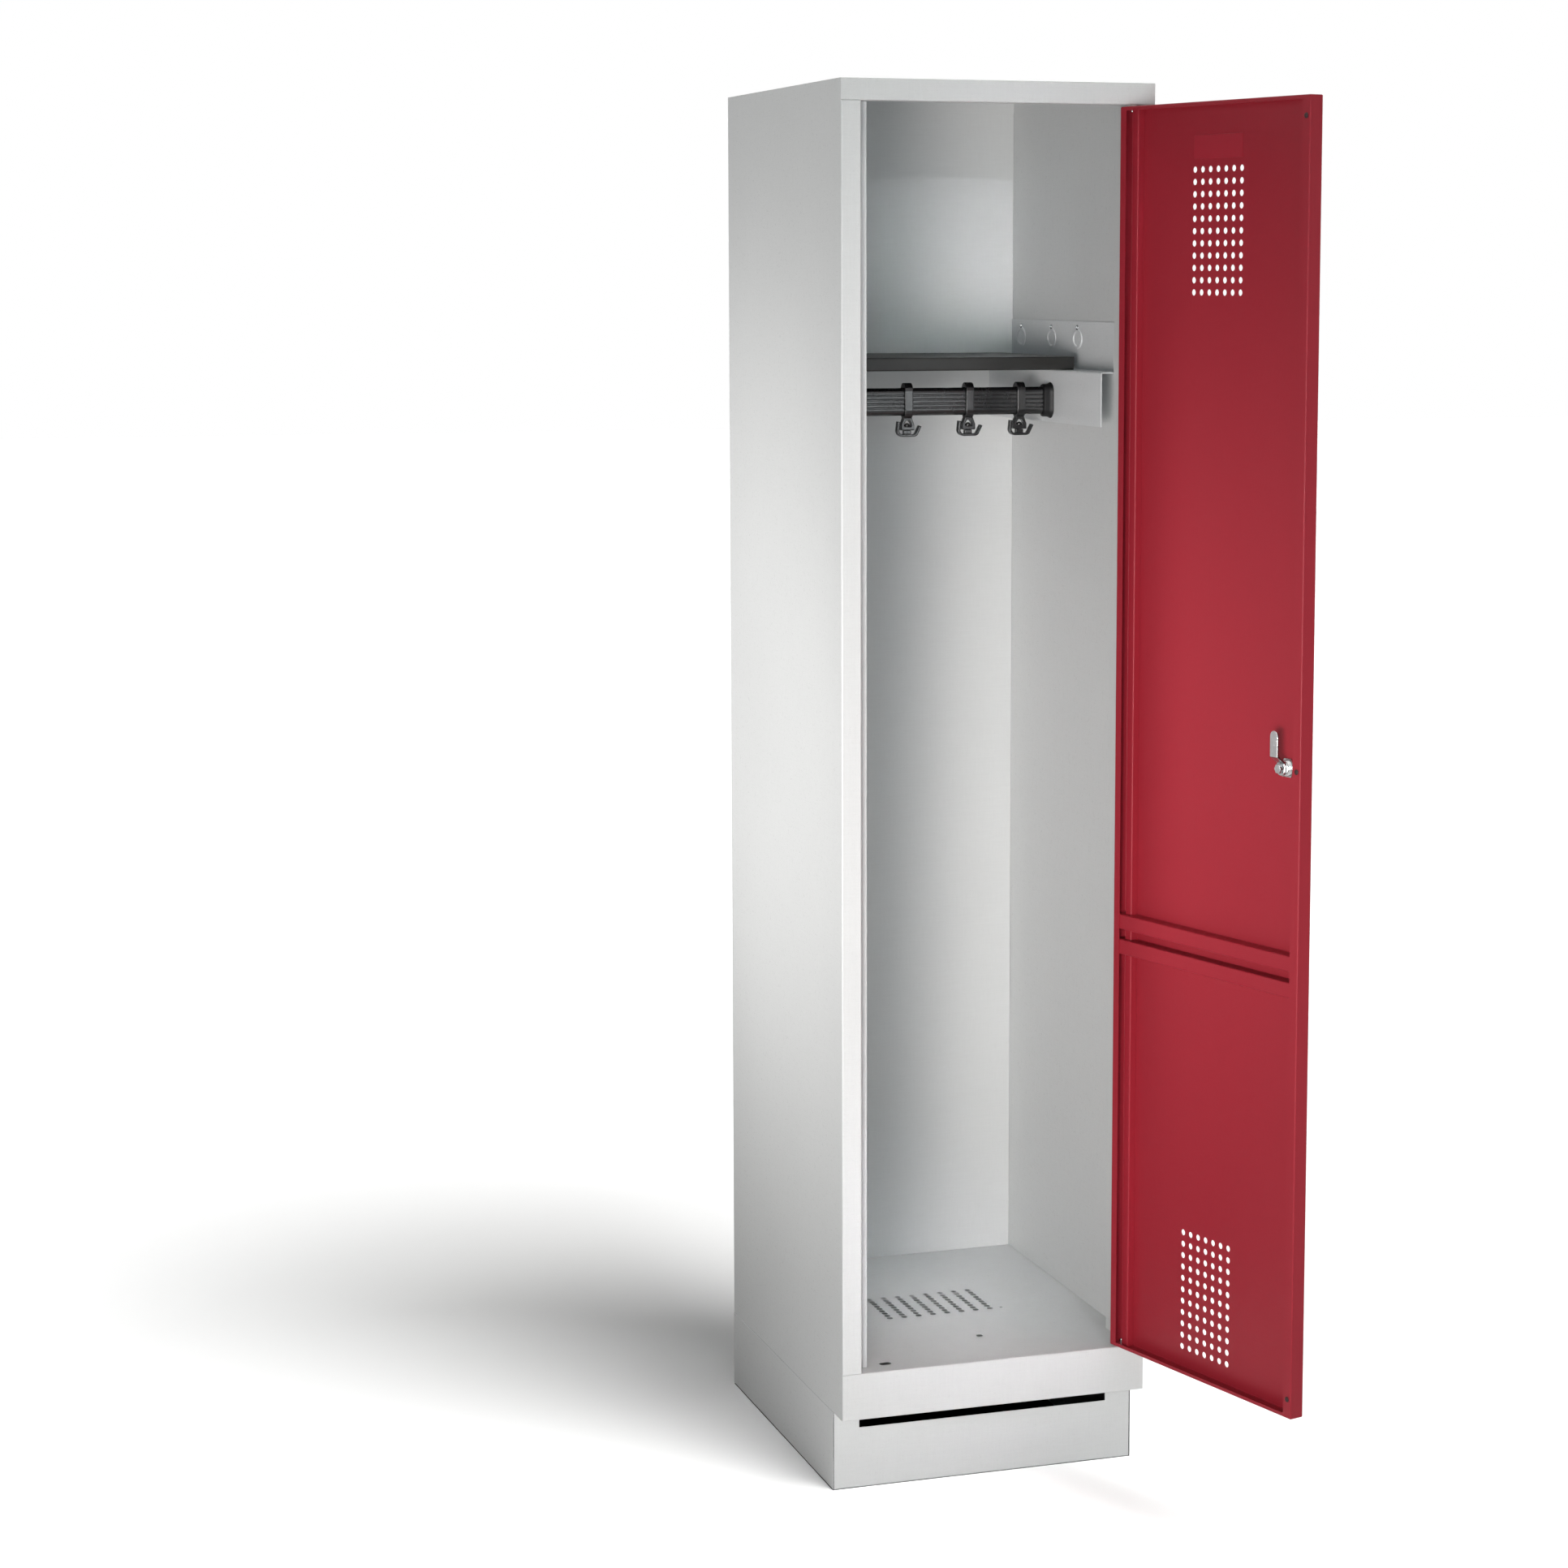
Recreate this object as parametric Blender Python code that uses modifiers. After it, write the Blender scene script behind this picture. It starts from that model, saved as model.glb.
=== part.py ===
"""A single clothing locker of folded sheet steel on a plinth, modelled as its separate pieces.

Metres, +Z up. The front faces -Y and the door is hinged on the +X side. The origin is on the floor, in the
middle of the rear plinth's foot. The door stands open, as it does at rest.
"""

import math

import bmesh
import bpy
from mathutils import Euler, Matrix, Vector

# Cabinet
WIDTH = 0.415
DEPTH = 0.500
HEIGHT = 1.800
SHEET = 0.001
FIT = 0.0003
UPRIGHT = 0.026
HINGE_UPRIGHT = 0.020
STOP_LIP = 0.014
STOP_GAP = 0.0025
HINGE_RETURN = 0.080
TOP_BAND = 0.027
SILL = 0.061
EDGE_RETURN = 0.025
REAR_FLANGE = 0.015

# Plinth
PLINTH_HEIGHT = 0.105
PLINTH_SET_BACK = 0.042
PLINTH_SHEET = 0.0012
PLINTH_FLANGE = 0.020
FOOT = 0.030
SLOT_MARGIN = 0.036
SLOT_LOW = 0.080
SLOT_HEIGHT = 0.016

# Openings in the floor panel, set back from the front and off from the middle
AIR_COLUMNS = 8
AIR_ROWS = 9
AIR_PITCH_X = 0.0205
AIR_PITCH_Y = 0.011
AIR_RADIUS = 0.0033
AIR_SET_BACK = 0.213
SMALL_HOLE_RADIUS = 0.002
SMALL_HOLE_SET_BACK = 0.213
SMALL_HOLE_OFF = 0.088
DRAIN_RADIUS = 0.0045
DRAIN_SET_BACK = 0.103
DRAIN_OFF = 0.0165
ROD_SLOT_SIZE = (0.016, 0.010)
ROD_SLOT_SET_BACK = 0.030
ROD_SLOT_OFF = -0.140

# Hat shelf and its brackets
BRACKET_SHEET = 0.0012
BRACKET_TOP = 1.500
BRACKET_LEDGE = 1.435
BRACKET_LOW = 1.366
BRACKET_STEP = 0.034
BRACKET_BEHIND_RETURN = 0.003
SHELF_SET_BACK = 0.220
SHELF_REAR_GAP = 0.0057
SHELF_HEIGHT = 0.0174
SHELF_SHEET = 0.001
SHELF_LIP = 0.012
SHELF_SIDE_GAP = 0.017
SCREW_SET_BACKS = (0.250, 0.345, 0.460)
SCREW_Z = 1.4915
SCREW_HEAD_RADIUS = 0.0036
SCREW_HEAD = 0.0018
SCREW_SHANK_RADIUS = 0.0018

# Clothes rail
RAIL_SET_BACK = 0.260
RAIL_Z = 1.395
RAIL_HEIGHT = 0.0365
RAIL_DEPTH = 0.014
RAIL_RIBS = 5
RAIL_GROOVE = 0.0013
RIB_SLOPE_SHARE = 0.2
RAIL_WALL = 0.0022
CAP_LENGTH = 0.013
CAP_WALL = 0.0032
CAP_POCKET = 0.009

# Sliding hooks, placed leftwards from the right rail cap
HOOK_SPOTS = (0.1905, 0.1048, 0.0321)
RING_WIDTH = 0.011
RING_PLAY = 0.0006
RING_SIDE = 0.003
RING_TOP = 0.0062
RING_BOTTOM = 0.0035
ARCH_DEPTH = 0.010
ARCH_HALF_WIDTH = 0.009
ARCH_DROP = 0.015
ARCH_BAR = 0.0045
WINDOW_HALF_WIDTH = 0.005
WINDOW_HEIGHT = 0.0085
NECK_RADIUS = 0.0019
NECK_PLAY = 0.0004
HEAD_RADIUS = 0.0036
HEAD_HEIGHT = 0.0046
HOOK_DEPTH = 0.009
HOOK_BLOCK = (0.010, 0.0082)
HOOK_ARM = 0.0031
HOOK_INNER = 0.0118
HOOK_CURL_RISE = 0.0120
HOOK_FIN_REACH = 0.0180
HOOK_FIN_RISE = 0.0060

# Door
DOOR_GAP = 0.0025
DOOR_DEPTH = 0.020
FREE_LIP = 0.0145
HINGE_LIP = 0.012
END_LIP = 0.004
PIVOT_IN = 0.006
SWING_CLEAR = 0.0004
OPEN_DEGREES = 105.0
VENT_COLUMNS = 7
VENT_ROWS = 11
VENT_PITCH = 0.015
VENT_RADIUS = 0.004
VENT_TOP = 0.081
VENT_BOTTOM = 0.0275
VENT_TO_HINGE = 0.010
LABEL_SIZE = (0.093, 0.029)
LABEL_TOP = 0.039
LABEL_SINK = 0.0004
STIFFENER_IN = 0.0135
STIFFENER_WIDTH = 0.0125
STIFFENER_DEPTH = 0.010
BAR_HEIGHT = 0.0193
LOWER_BAR_RISE = 0.5227
UPPER_BAR_RISE = 0.5553
BUFFER_IN = 0.0065
BUFFER_FROM_END = 0.0245
BUFFER_STEM_RADIUS = 0.0022
BUFFER_STEM = 0.0025
BUFFER_HEAD_RADIUS = 0.0034
BUFFER_HEAD = 0.0014

# Hinge pins
PIN_RADIUS = 0.003
PIN_RUN = 0.0004
PIN_REACH = 0.007
PIN_HEAD_RADIUS = 0.004
PIN_HEAD = 0.003
WASHER_RADIUS = 0.005

# Cam lock
LOCK_IN = 0.041
ROSETTE_RADIUS = 0.013
ROSETTE = 0.0025
ROSETTE_EDGE = 0.0008
LOCK_RADIUS = 0.010
LOCK_LENGTH = 0.013
LOCK_NUT_FLATS = 0.0225
LOCK_NUT = 0.004
PLUG_RADIUS = 0.0056
PLUG_PLAY = 0.0004
SPIGOT_RADIUS = 0.003
KEYWAY = (0.0012, 0.008, 0.003)
CAM_WIDTH = 0.014
CAM_SHEET = 0.0028
CAM_REACH = 0.047
CAM_HUB = 0.0085
CAM_BEND = 0.0078
CAM_RUN = 0.0085
CAM_NUT_FLATS = 0.011
CAM_NUT = 0.0045

# Facets of round pieces, cutters and welds
HOLE_SIDES = 6
ROUND_SIDES = 24
SMOOTH_DEGREES = 35.0
CUT_OVER = 0.004
WELD = 0.000001

# Places worked out from the sizes above
BACK = FOOT / 2
FRONT = BACK - DEPTH
HALF = WIDTH / 2
INNER_HALF = HALF - SHEET - FIT
SILL_TOP = PLINTH_HEIGHT + SILL
BAND_LOW = HEIGHT - TOP_BAND
BACK_PANEL_INNER = BACK - 2 * SHEET - FIT
PLINTH_FRONT = FRONT + PLINTH_SET_BACK
PLINTH_TOP = PLINTH_HEIGHT - FIT
REBATE = DOOR_DEPTH + STOP_GAP
DOOR_WIDTH = WIDTH - UPRIGHT - HINGE_UPRIGHT - 2 * DOOR_GAP
DOOR_LOW = SILL_TOP + DOOR_GAP
DOOR_TOP = BAND_LOW - DOOR_GAP
DOOR_MIDDLE = (DOOR_LOW + DOOR_TOP) / 2
PIVOT_BACK = math.sqrt((PIVOT_IN + DOOR_GAP - SWING_CLEAR) ** 2 - PIVOT_IN**2)
PIVOT = Vector((HALF - HINGE_UPRIGHT - DOOR_GAP - PIVOT_IN, FRONT + PIVOT_BACK, 0.0))
LEDGE_TOP = BRACKET_LEDGE + BRACKET_SHEET
SHELF_LOW = LEDGE_TOP + FIT
BRACKET_INNER = INNER_HALF - BRACKET_STEP - BRACKET_SHEET
CAP_OUTER = BRACKET_INNER - FIT
CAP_INNER = CAP_OUTER - CAP_LENGTH
RAIL_Y = FRONT + RAIL_SET_BACK
RING_INNER_DEPTH = RAIL_DEPTH / 2 + RING_PLAY
RING_INNER_HEIGHT = RAIL_HEIGHT / 2 + RING_PLAY
RING_LOW = -RING_INNER_HEIGHT - RING_BOTTOM
ARCH_LOW = RING_LOW - ARCH_DROP
WINDOW_LOW = ARCH_LOW + ARCH_BAR
BLOCK_TOP = ARCH_LOW - FIT
BLOCK_LOW = BLOCK_TOP - HOOK_BLOCK[1]

# How a flat form is turned so that its own Z runs along X, Y or Z
AXIS_TURNS = {
    "X": Matrix(((0, 0, 1), (1, 0, 0), (0, 1, 0))).to_4x4(),
    "Y": Matrix(((1, 0, 0), (0, 0, 1), (0, 1, 0))).to_4x4(),
    "Z": Matrix.Identity(4),
}

# Finishes: colour, roughness, metallic
GREY = ((0.60, 0.61, 0.60), 0.45, 0.0)
INSIDE_GREY = ((0.56, 0.58, 0.59), 0.45, 0.0)
RED = ((0.33, 0.02, 0.03), 0.40, 0.0)
ANTHRACITE = ((0.025, 0.024, 0.023), 0.45, 0.0)
BLACK = ((0.012, 0.012, 0.012), 0.35, 0.0)
RUBBER = ((0.02, 0.02, 0.02), 0.80, 0.0)
ZINC = ((0.62, 0.62, 0.60), 0.25, 1.0)
WHITE_PLASTIC = ((0.65, 0.65, 0.63), 0.40, 0.0)

part_collection = bpy.data.collections.new("clothing_locker")
cutter_collection = bpy.data.collections.new("cutters")


def start_scene():
    """Empties the scene and links the two collections."""
    for item in list(bpy.data.objects):
        bpy.data.objects.remove(item)
    bpy.context.scene.collection.children.link(part_collection)
    bpy.context.scene.collection.children.link(cutter_collection)
    cutter_collection.hide_render = True


def finish_material(name, finish):
    """One Principled material: (colour, roughness, metallic)."""
    colour, roughness, metallic = finish
    material = bpy.data.materials.new(name)
    material.use_nodes = True
    shader = material.node_tree.nodes["Principled BSDF"]
    shader.inputs["Base Color"].default_value = (*colour, 1.0)
    shader.inputs["Roughness"].default_value = roughness
    shader.inputs["Metallic"].default_value = metallic
    return material


def add_part(name, mesh, finish, parent=None, place=(0.0, 0.0, 0.0)):
    """Puts a mesh into the scene as a named piece of the locker."""
    part = bpy.data.objects.new(name, mesh)
    mesh.shade_smooth()
    mesh.set_sharp_from_angle(angle=math.radians(SMOOTH_DEGREES))
    mesh.materials.clear()
    mesh.materials.append(finish_material(name, finish))
    part.location = place
    part.parent = parent
    part_collection.objects.link(part)
    return part


def add_axis(name, place, parent=None, turn=0.0):
    """An empty on a joint axis, which carries the pieces that move with it."""
    axis = bpy.data.objects.new(name, None)
    axis.empty_display_size = 0.02
    axis.location = place
    axis.rotation_euler = Euler((0.0, 0.0, turn))
    axis.parent = parent
    part_collection.objects.link(axis)
    return axis


def boolean(part, mesh, name, operation="DIFFERENCE"):
    """Adds an exact Boolean to a piece, with a hidden helper that shares the piece's own frame."""
    helper = bpy.data.objects.new(f"{part.name}_{name}", mesh)
    helper.parent = part.parent
    helper.location = part.location
    helper.display_type = "WIRE"
    helper.hide_render = True
    cutter_collection.objects.link(helper)
    step = part.modifiers.new(name, "BOOLEAN")
    step.operation = operation
    step.solver = "EXACT"
    step.object = helper
    return part


def evaluated_mesh(item, name):
    """The mesh that an object's curve or modifiers make, as plain data."""
    bpy.context.view_layer.update()
    graph = bpy.context.evaluated_depsgraph_get()
    mesh = bpy.data.meshes.new_from_object(item.evaluated_get(graph))
    mesh.name = name
    return mesh


def finished_mesh(part, name):
    """The piece's mesh after its Booleans, so that copies can share it. The piece and helpers go."""
    mesh = evaluated_mesh(part, name)
    helpers = [step.object for step in part.modifiers]
    for item in [part, *helpers]:
        bpy.data.objects.remove(item)
    return mesh


def closed_mesh(form, axis, along=0.0):
    """The welded mesh of a form, whose own Z is turned to an axis and moved along it. The form goes."""
    cutter_collection.objects.link(form)
    mesh = evaluated_mesh(form, form.name)
    bpy.data.objects.remove(form)
    shape = bmesh.new()
    shape.from_mesh(mesh)
    bmesh.ops.remove_doubles(shape, verts=shape.verts, dist=WELD)
    bmesh.ops.translate(shape, vec=(0.0, 0.0, along), verts=shape.verts)
    bmesh.ops.transform(shape, matrix=AXIS_TURNS[axis], verts=shape.verts)
    bmesh.ops.recalc_face_normals(shape, faces=shape.faces)
    shape.to_mesh(mesh)
    shape.free()
    return mesh


def prisms(name, outlines, axis, low, high):
    """A mesh of separate flat outlines, each extruded from low to high along an axis."""
    curve = bpy.data.curves.new(name, "CURVE")
    curve.dimensions = "2D"
    curve.fill_mode = "BOTH"
    curve.extrude = (high - low) / 2
    for outline in outlines:
        spline = curve.splines.new("POLY")
        spline.points.add(len(outline) - 1)
        spline.use_cyclic_u = True
        for point, (first, second) in zip(spline.points, outline):
            point.co = (first, second, 0.0, 1.0)
    return closed_mesh(bpy.data.objects.new(name, curve), axis, (low + high) / 2)


def prism(name, outline, axis, low, high):
    """A mesh of one extruded outline."""
    return prisms(name, [outline], axis, low, high)


def block(name, low, high):
    """A box between two corners."""
    low, high = Vector(low), Vector(high)
    shape = bmesh.new()
    bmesh.ops.create_cube(shape, size=1.0)
    bmesh.ops.scale(shape, vec=high - low, verts=shape.verts)
    bmesh.ops.translate(shape, vec=(low + high) / 2, verts=shape.verts)
    mesh = bpy.data.meshes.new(name)
    shape.to_mesh(mesh)
    shape.free()
    return mesh


def turned(name, profile, axis, sides=ROUND_SIDES, closed=False):
    """A turned piece: profile points are (radius, place along the axis). A closed profile has a bore."""
    points = list(profile)
    if not closed:
        points = [(0.0, points[0][1]), *points, (0.0, points[-1][1])]
    lines = list(zip(range(len(points) - 1), range(1, len(points))))
    if closed:
        lines.append((len(points) - 1, 0))
    line = bpy.data.meshes.new(name)
    line.from_pydata([(radius, 0.0, along) for radius, along in points], lines, [])
    form = bpy.data.objects.new(name, line)
    turn = form.modifiers.new("turn", "SCREW")
    turn.steps = sides
    turn.render_steps = sides
    turn.use_merge_vertices = True
    turn.merge_threshold = WELD
    return closed_mesh(form, axis)


def circle(middle, radius, sides=ROUND_SIDES, start=0.0):
    """The corners of a regular outline around a point."""
    angles = [start + 2 * math.pi * k / sides for k in range(sides)]
    return [(middle[0] + radius * math.cos(a), middle[1] + radius * math.sin(a)) for a in angles]


def hexagon(middle, across_flats):
    """A hexagon of a given width across its flats."""
    return circle(middle, across_flats / math.sqrt(3), 6)


def stadium(half_width, low, high, steps=8):
    """An upright oval outline with half-round ends, from low to high."""
    points = []
    for middle, start in ((high - half_width, 0.0), (low + half_width, math.pi)):
        for k in range(steps + 1):
            angle = start + math.pi * k / steps
            points.append((half_width * math.cos(angle), middle + half_width * math.sin(angle)))
    return points


def oblong(middle, size, steps=3):
    """A lying oval outline of (length, width) around a point."""
    half_width = size[1] / 2
    points = stadium(half_width, -size[0] / 2, size[0] / 2, steps)
    return [(middle[0] + b, middle[1] + a) for a, b in points]


def strip(path, thickness):
    """The outline of a folded sheet: the path is one face, and the sheet lies on its right-hand side."""
    points = [Vector(p) for p in path]
    rights = []
    for first, second in zip(points, points[1:]):
        along = (second - first).normalized()
        rights.append(Vector((along.y, -along.x)))
    other = [points[0] + rights[0] * thickness]
    for point, before, after in zip(points[1:], rights, rights[1:]):
        bisector = (before + after).normalized()
        other.append(point + bisector * (thickness / bisector.dot(before)))
    other.append(points[-1] + rights[-1] * thickness)
    return [tuple(p) for p in points + other[::-1]]


def centred_strip(path, thickness):
    """The outline of a bent bar of even thickness around its middle line."""
    reverse = list(reversed(path))
    right = strip(path, thickness / 2)[len(path) :]
    left = strip(reverse, thickness / 2)[len(path) :]
    return right + left


def mirrored(points):
    """The outline on the other side of the middle plane."""
    return [(-a, b) for a, b in points]


def grid(columns, rows, pitch_a, pitch_b, middle):
    """Places of a rectangular field of holes around its middle."""
    places = []
    for i in range(columns):
        for j in range(rows):
            a = middle[0] + (i - (columns - 1) / 2) * pitch_a
            b = middle[1] + (j - (rows - 1) / 2) * pitch_b
            places.append((a, b))
    return places


def end_notch(upright, reach, deep):
    """Outline of the cut that takes a left upright's fold away behind the band or the sill."""
    inner = -HALF + reach + CUT_OVER
    rear = FRONT + deep + CUT_OVER
    middle = -HALF + upright / 2
    seam = FRONT + SHEET + FIT
    outer = -HALF - CUT_OVER
    front = FRONT - CUT_OVER
    return [(outer, front), (inner, front), (inner, rear), (middle, rear), (middle, seam), (outer, seam)]


def make_side_panels():
    """Two folded side panels: rear flange, side, front upright, and the door's rebate or hinge return."""
    stop = FRONT + REBATE
    left_path = [
        (-HALF + REAR_FLANGE, BACK),
        (-HALF, BACK),
        (-HALF, FRONT),
        (-HALF + UPRIGHT, FRONT),
        (-HALF + UPRIGHT, stop),
        (-HALF + UPRIGHT + STOP_LIP, stop),
    ]
    right_path = [
        (HALF - REAR_FLANGE, BACK),
        (HALF, BACK),
        (HALF, FRONT),
        (HALF - HINGE_UPRIGHT, FRONT),
        (HALF - HINGE_UPRIGHT, FRONT + HINGE_RETURN),
    ]
    left_outline = strip(left_path[::-1], SHEET)
    right_outline = strip(right_path, SHEET)
    left_notch = end_notch(UPRIGHT, UPRIGHT + STOP_LIP, REBATE + SHEET)
    right_notch = mirrored(end_notch(HINGE_UPRIGHT, HINGE_UPRIGHT, HINGE_RETURN))
    for name, outline, cut in (
        ("left_side_panel", left_outline, left_notch),
        ("right_side_panel", right_outline, right_notch),
    ):
        panel = add_part(name, prism(name, outline, "Z", PLINTH_HEIGHT, HEIGHT), GREY)
        for end, low, high in (
            ("band_notch", BAND_LOW - FIT, HEIGHT + CUT_OVER),
            ("sill_notch", PLINTH_HEIGHT - CUT_OVER, SILL_TOP + FIT),
        ):
            boolean(panel, prism(end, cut, "Z", low, high), end)


def side_trims(name, low, high):
    """A cutter that takes a full-width fold back between the side panels, behind its front face."""
    start = FRONT + SHEET + FIT / 3
    outer = HALF + CUT_OVER
    corners = [(INNER_HALF, start), (outer, start), (outer, BACK + CUT_OVER), (INNER_HALF, BACK + CUT_OVER)]
    return prisms(name, [corners, mirrored(corners)], "Z", low - CUT_OVER, high + CUT_OVER)


def make_top_and_back():
    """The top panel with its front band, and the plain back panel between the side panels."""
    rear = BACK_PANEL_INNER - FIT
    path = [
        (FRONT + EDGE_RETURN, BAND_LOW),
        (FRONT, BAND_LOW),
        (FRONT, HEIGHT),
        (rear, HEIGHT),
        (rear, HEIGHT - REAR_FLANGE),
    ]
    top = add_part("top_panel", prism("top_panel", strip(path, SHEET), "X", -HALF, HALF), GREY)
    boolean(top, side_trims("side_trim", BAND_LOW, HEIGHT), "side_trim")
    boolean(top, pin_bore("pin_bore", PIN_RADIUS + FIT, BAND_LOW), "pin_bore")
    low = (-INNER_HALF, BACK_PANEL_INNER, PLINTH_HEIGHT)
    high = (INNER_HALF, BACK_PANEL_INNER + SHEET, HEIGHT)
    add_part("back_panel", block("back_panel", low, high), INSIDE_GREY)


def pin_bore(name, radius, level):
    """A round cutter on the door's pivot line, through a sheet at a level."""
    outline = circle((PIVOT.x, PIVOT.y), radius)
    return prism(name, outline, "Z", level - CUT_OVER, level + CUT_OVER)


def make_floor_panel():
    """The floor with its front sill, air holes, drain holes and the slot for a lock rod."""
    rear = BACK_PANEL_INNER - FIT
    path = [
        (rear, SILL_TOP - REAR_FLANGE),
        (rear, SILL_TOP),
        (FRONT, SILL_TOP),
        (FRONT, PLINTH_HEIGHT),
        (FRONT + EDGE_RETURN, PLINTH_HEIGHT),
    ]
    outline = strip(path[::-1], SHEET)
    floor = add_part("floor_panel", prism("floor_panel", outline, "X", -HALF, HALF), GREY)
    boolean(floor, side_trims("side_trim", PLINTH_HEIGHT, SILL_TOP), "side_trim")
    field = (0.0, FRONT + AIR_SET_BACK + (AIR_ROWS - 1) / 2 * AIR_PITCH_Y)
    places = grid(AIR_COLUMNS, AIR_ROWS, AIR_PITCH_X, AIR_PITCH_Y, field)
    holes = [circle(place, AIR_RADIUS, HOLE_SIDES) for place in places]
    holes.append(circle((SMALL_HOLE_OFF, FRONT + SMALL_HOLE_SET_BACK), SMALL_HOLE_RADIUS, HOLE_SIDES))
    holes.append(circle((DRAIN_OFF, FRONT + DRAIN_SET_BACK), DRAIN_RADIUS, 12))
    holes.append(oblong((ROD_SLOT_OFF, FRONT + ROD_SLOT_SET_BACK), ROD_SLOT_SIZE))
    holes.append(circle((PIVOT.x, PIVOT.y), PIN_RADIUS + FIT))
    cutter = prisms("holes", holes, "Z", SILL_TOP - CUT_OVER, SILL_TOP + CUT_OVER)
    boolean(floor, cutter, "holes")


def make_plinth():
    """Four folded plinth panels. The side panels' flanges stop short of the front and rear panels."""
    front_path = [
        (PLINTH_FRONT + PLINTH_FLANGE, 0.0),
        (PLINTH_FRONT, 0.0),
        (PLINTH_FRONT, PLINTH_TOP),
        (PLINTH_FRONT + PLINTH_FLANGE, PLINTH_TOP),
    ]
    rear_path = [
        (BACK - PLINTH_FLANGE, PLINTH_TOP),
        (BACK, PLINTH_TOP),
        (BACK, 0.0),
        (BACK - FOOT, 0.0),
    ]
    reach = HALF - PLINTH_SHEET - 2 * FIT
    front = prism("plinth_front", strip(front_path, PLINTH_SHEET), "X", -reach, reach)
    front_panel = add_part("plinth_front", front, GREY)
    slot_low = (-HALF + SLOT_MARGIN, PLINTH_FRONT - CUT_OVER, SLOT_LOW)
    slot_high = (HALF - SLOT_MARGIN, PLINTH_FRONT + CUT_OVER, SLOT_LOW + SLOT_HEIGHT)
    boolean(front_panel, block("slot", slot_low, slot_high), "slot")
    rear = prism("plinth_rear", strip(rear_path, PLINTH_SHEET), "X", -reach, reach)
    add_part("plinth_rear", rear, GREY)
    left_path = [
        (-HALF + PLINTH_FLANGE, 0.0),
        (-HALF, 0.0),
        (-HALF, PLINTH_TOP),
        (-HALF + PLINTH_FLANGE, PLINTH_TOP),
    ]
    left_outline = strip(left_path, PLINTH_SHEET)
    inside = -HALF + PLINTH_SHEET + FIT / 2
    far = -HALF + PLINTH_FLANGE + CUT_OVER
    lengths = (
        (PLINTH_FRONT - CUT_OVER, PLINTH_FRONT + PLINTH_FLANGE + FIT),
        (BACK - FOOT - FIT, BACK + CUT_OVER),
    )
    corners = [[(inside, a), (far, a), (far, b), (inside, b)] for a, b in lengths]
    for name, outline, notches in (
        ("plinth_left", left_outline, corners),
        ("plinth_right", mirrored(left_outline), [mirrored(c) for c in corners]),
    ):
        side = add_part(name, prism(name, outline, "Y", PLINTH_FRONT, BACK), GREY)
        cutter = prisms("flange_notch", notches, "Z", -CUT_OVER, PLINTH_HEIGHT + CUT_OVER)
        boolean(side, cutter, "flange_notch")


def make_shelf():
    """The two stepped brackets with their screws, and the hat shelf that lies on their ledges."""
    right_path = [
        (INNER_HALF, BRACKET_TOP),
        (INNER_HALF, BRACKET_LEDGE),
        (INNER_HALF - BRACKET_STEP, BRACKET_LEDGE),
        (INNER_HALF - BRACKET_STEP, BRACKET_LOW),
    ]
    right_outline = strip(right_path, BRACKET_SHEET)
    start = FRONT + HINGE_RETURN + BRACKET_BEHIND_RETURN
    end = BACK_PANEL_INNER - FIT
    holes = [circle((FRONT + y, SCREW_Z), SCREW_SHANK_RADIUS + FIT, 12) for y in SCREW_SET_BACKS]
    head_face = INNER_HALF - BRACKET_SHEET - FIT
    shank = [
        (SCREW_SHANK_RADIUS, INNER_HALF),
        (SCREW_SHANK_RADIUS, head_face),
        (SCREW_HEAD_RADIUS, head_face),
        (SCREW_HEAD_RADIUS * 0.8, head_face - SCREW_HEAD),
    ]
    for side, name, outline in ((1, "right", right_outline), (-1, "left", mirrored(right_outline))):
        bracket_name = f"{name}_shelf_bracket"
        mesh = prism(bracket_name, outline, "Y", start, end)
        bracket = add_part(bracket_name, mesh, INSIDE_GREY)
        low, high = sorted((side * (INNER_HALF - CUT_OVER), side * (INNER_HALF + CUT_OVER)))
        boolean(bracket, prisms("screw_holes", holes, "X", low, high), "screw_holes")
        for number, setback in enumerate(SCREW_SET_BACKS, 1):
            screw_name = f"{name}_bracket_screw_{number}"
            profile = [(radius, side * along) for radius, along in shank]
            mesh = turned(screw_name, profile, "X", 12)
            add_part(screw_name, mesh, ZINC, place=(0.0, FRONT + setback, SCREW_Z))
    shelf_front = FRONT + SHELF_SET_BACK
    shelf_back = BACK_PANEL_INNER - SHELF_REAR_GAP
    shelf_top = SHELF_LOW + SHELF_HEIGHT
    path = [
        (shelf_front + SHELF_LIP, SHELF_LOW),
        (shelf_front, SHELF_LOW),
        (shelf_front, shelf_top),
        (shelf_back, shelf_top),
        (shelf_back, SHELF_LOW),
        (shelf_back - SHELF_LIP, SHELF_LOW),
    ]
    reach = INNER_HALF - BRACKET_SHEET - SHELF_SIDE_GAP
    shelf = prism("hat_shelf", strip(path, SHELF_SHEET), "X", -reach, reach)
    add_part("hat_shelf", shelf, ANTHRACITE)


def rail_outline():
    """Ribbed oval section of the rail, around its middle: half-round ends and grooved flat faces."""
    half_depth = RAIL_DEPTH / 2
    flat = RAIL_HEIGHT / 2 - half_depth
    pitch = 2 * flat / RAIL_RIBS
    slope = pitch * RIB_SLOPE_SHARE
    groove = half_depth - RAIL_GROOVE
    points = []
    for side in (1, -1):
        for rib in range(RAIL_RIBS):
            base = -flat + rib * pitch
            points.append((side * groove, side * base))
            points.append((side * half_depth, side * (base + slope)))
            points.append((side * half_depth, side * (base + pitch - slope)))
        points.append((side * groove, side * flat))
        for across, up in arc((0.0, flat), half_depth, 22.5, 157.5, 6):
            points.append((side * across, side * up))
    return points


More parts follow.
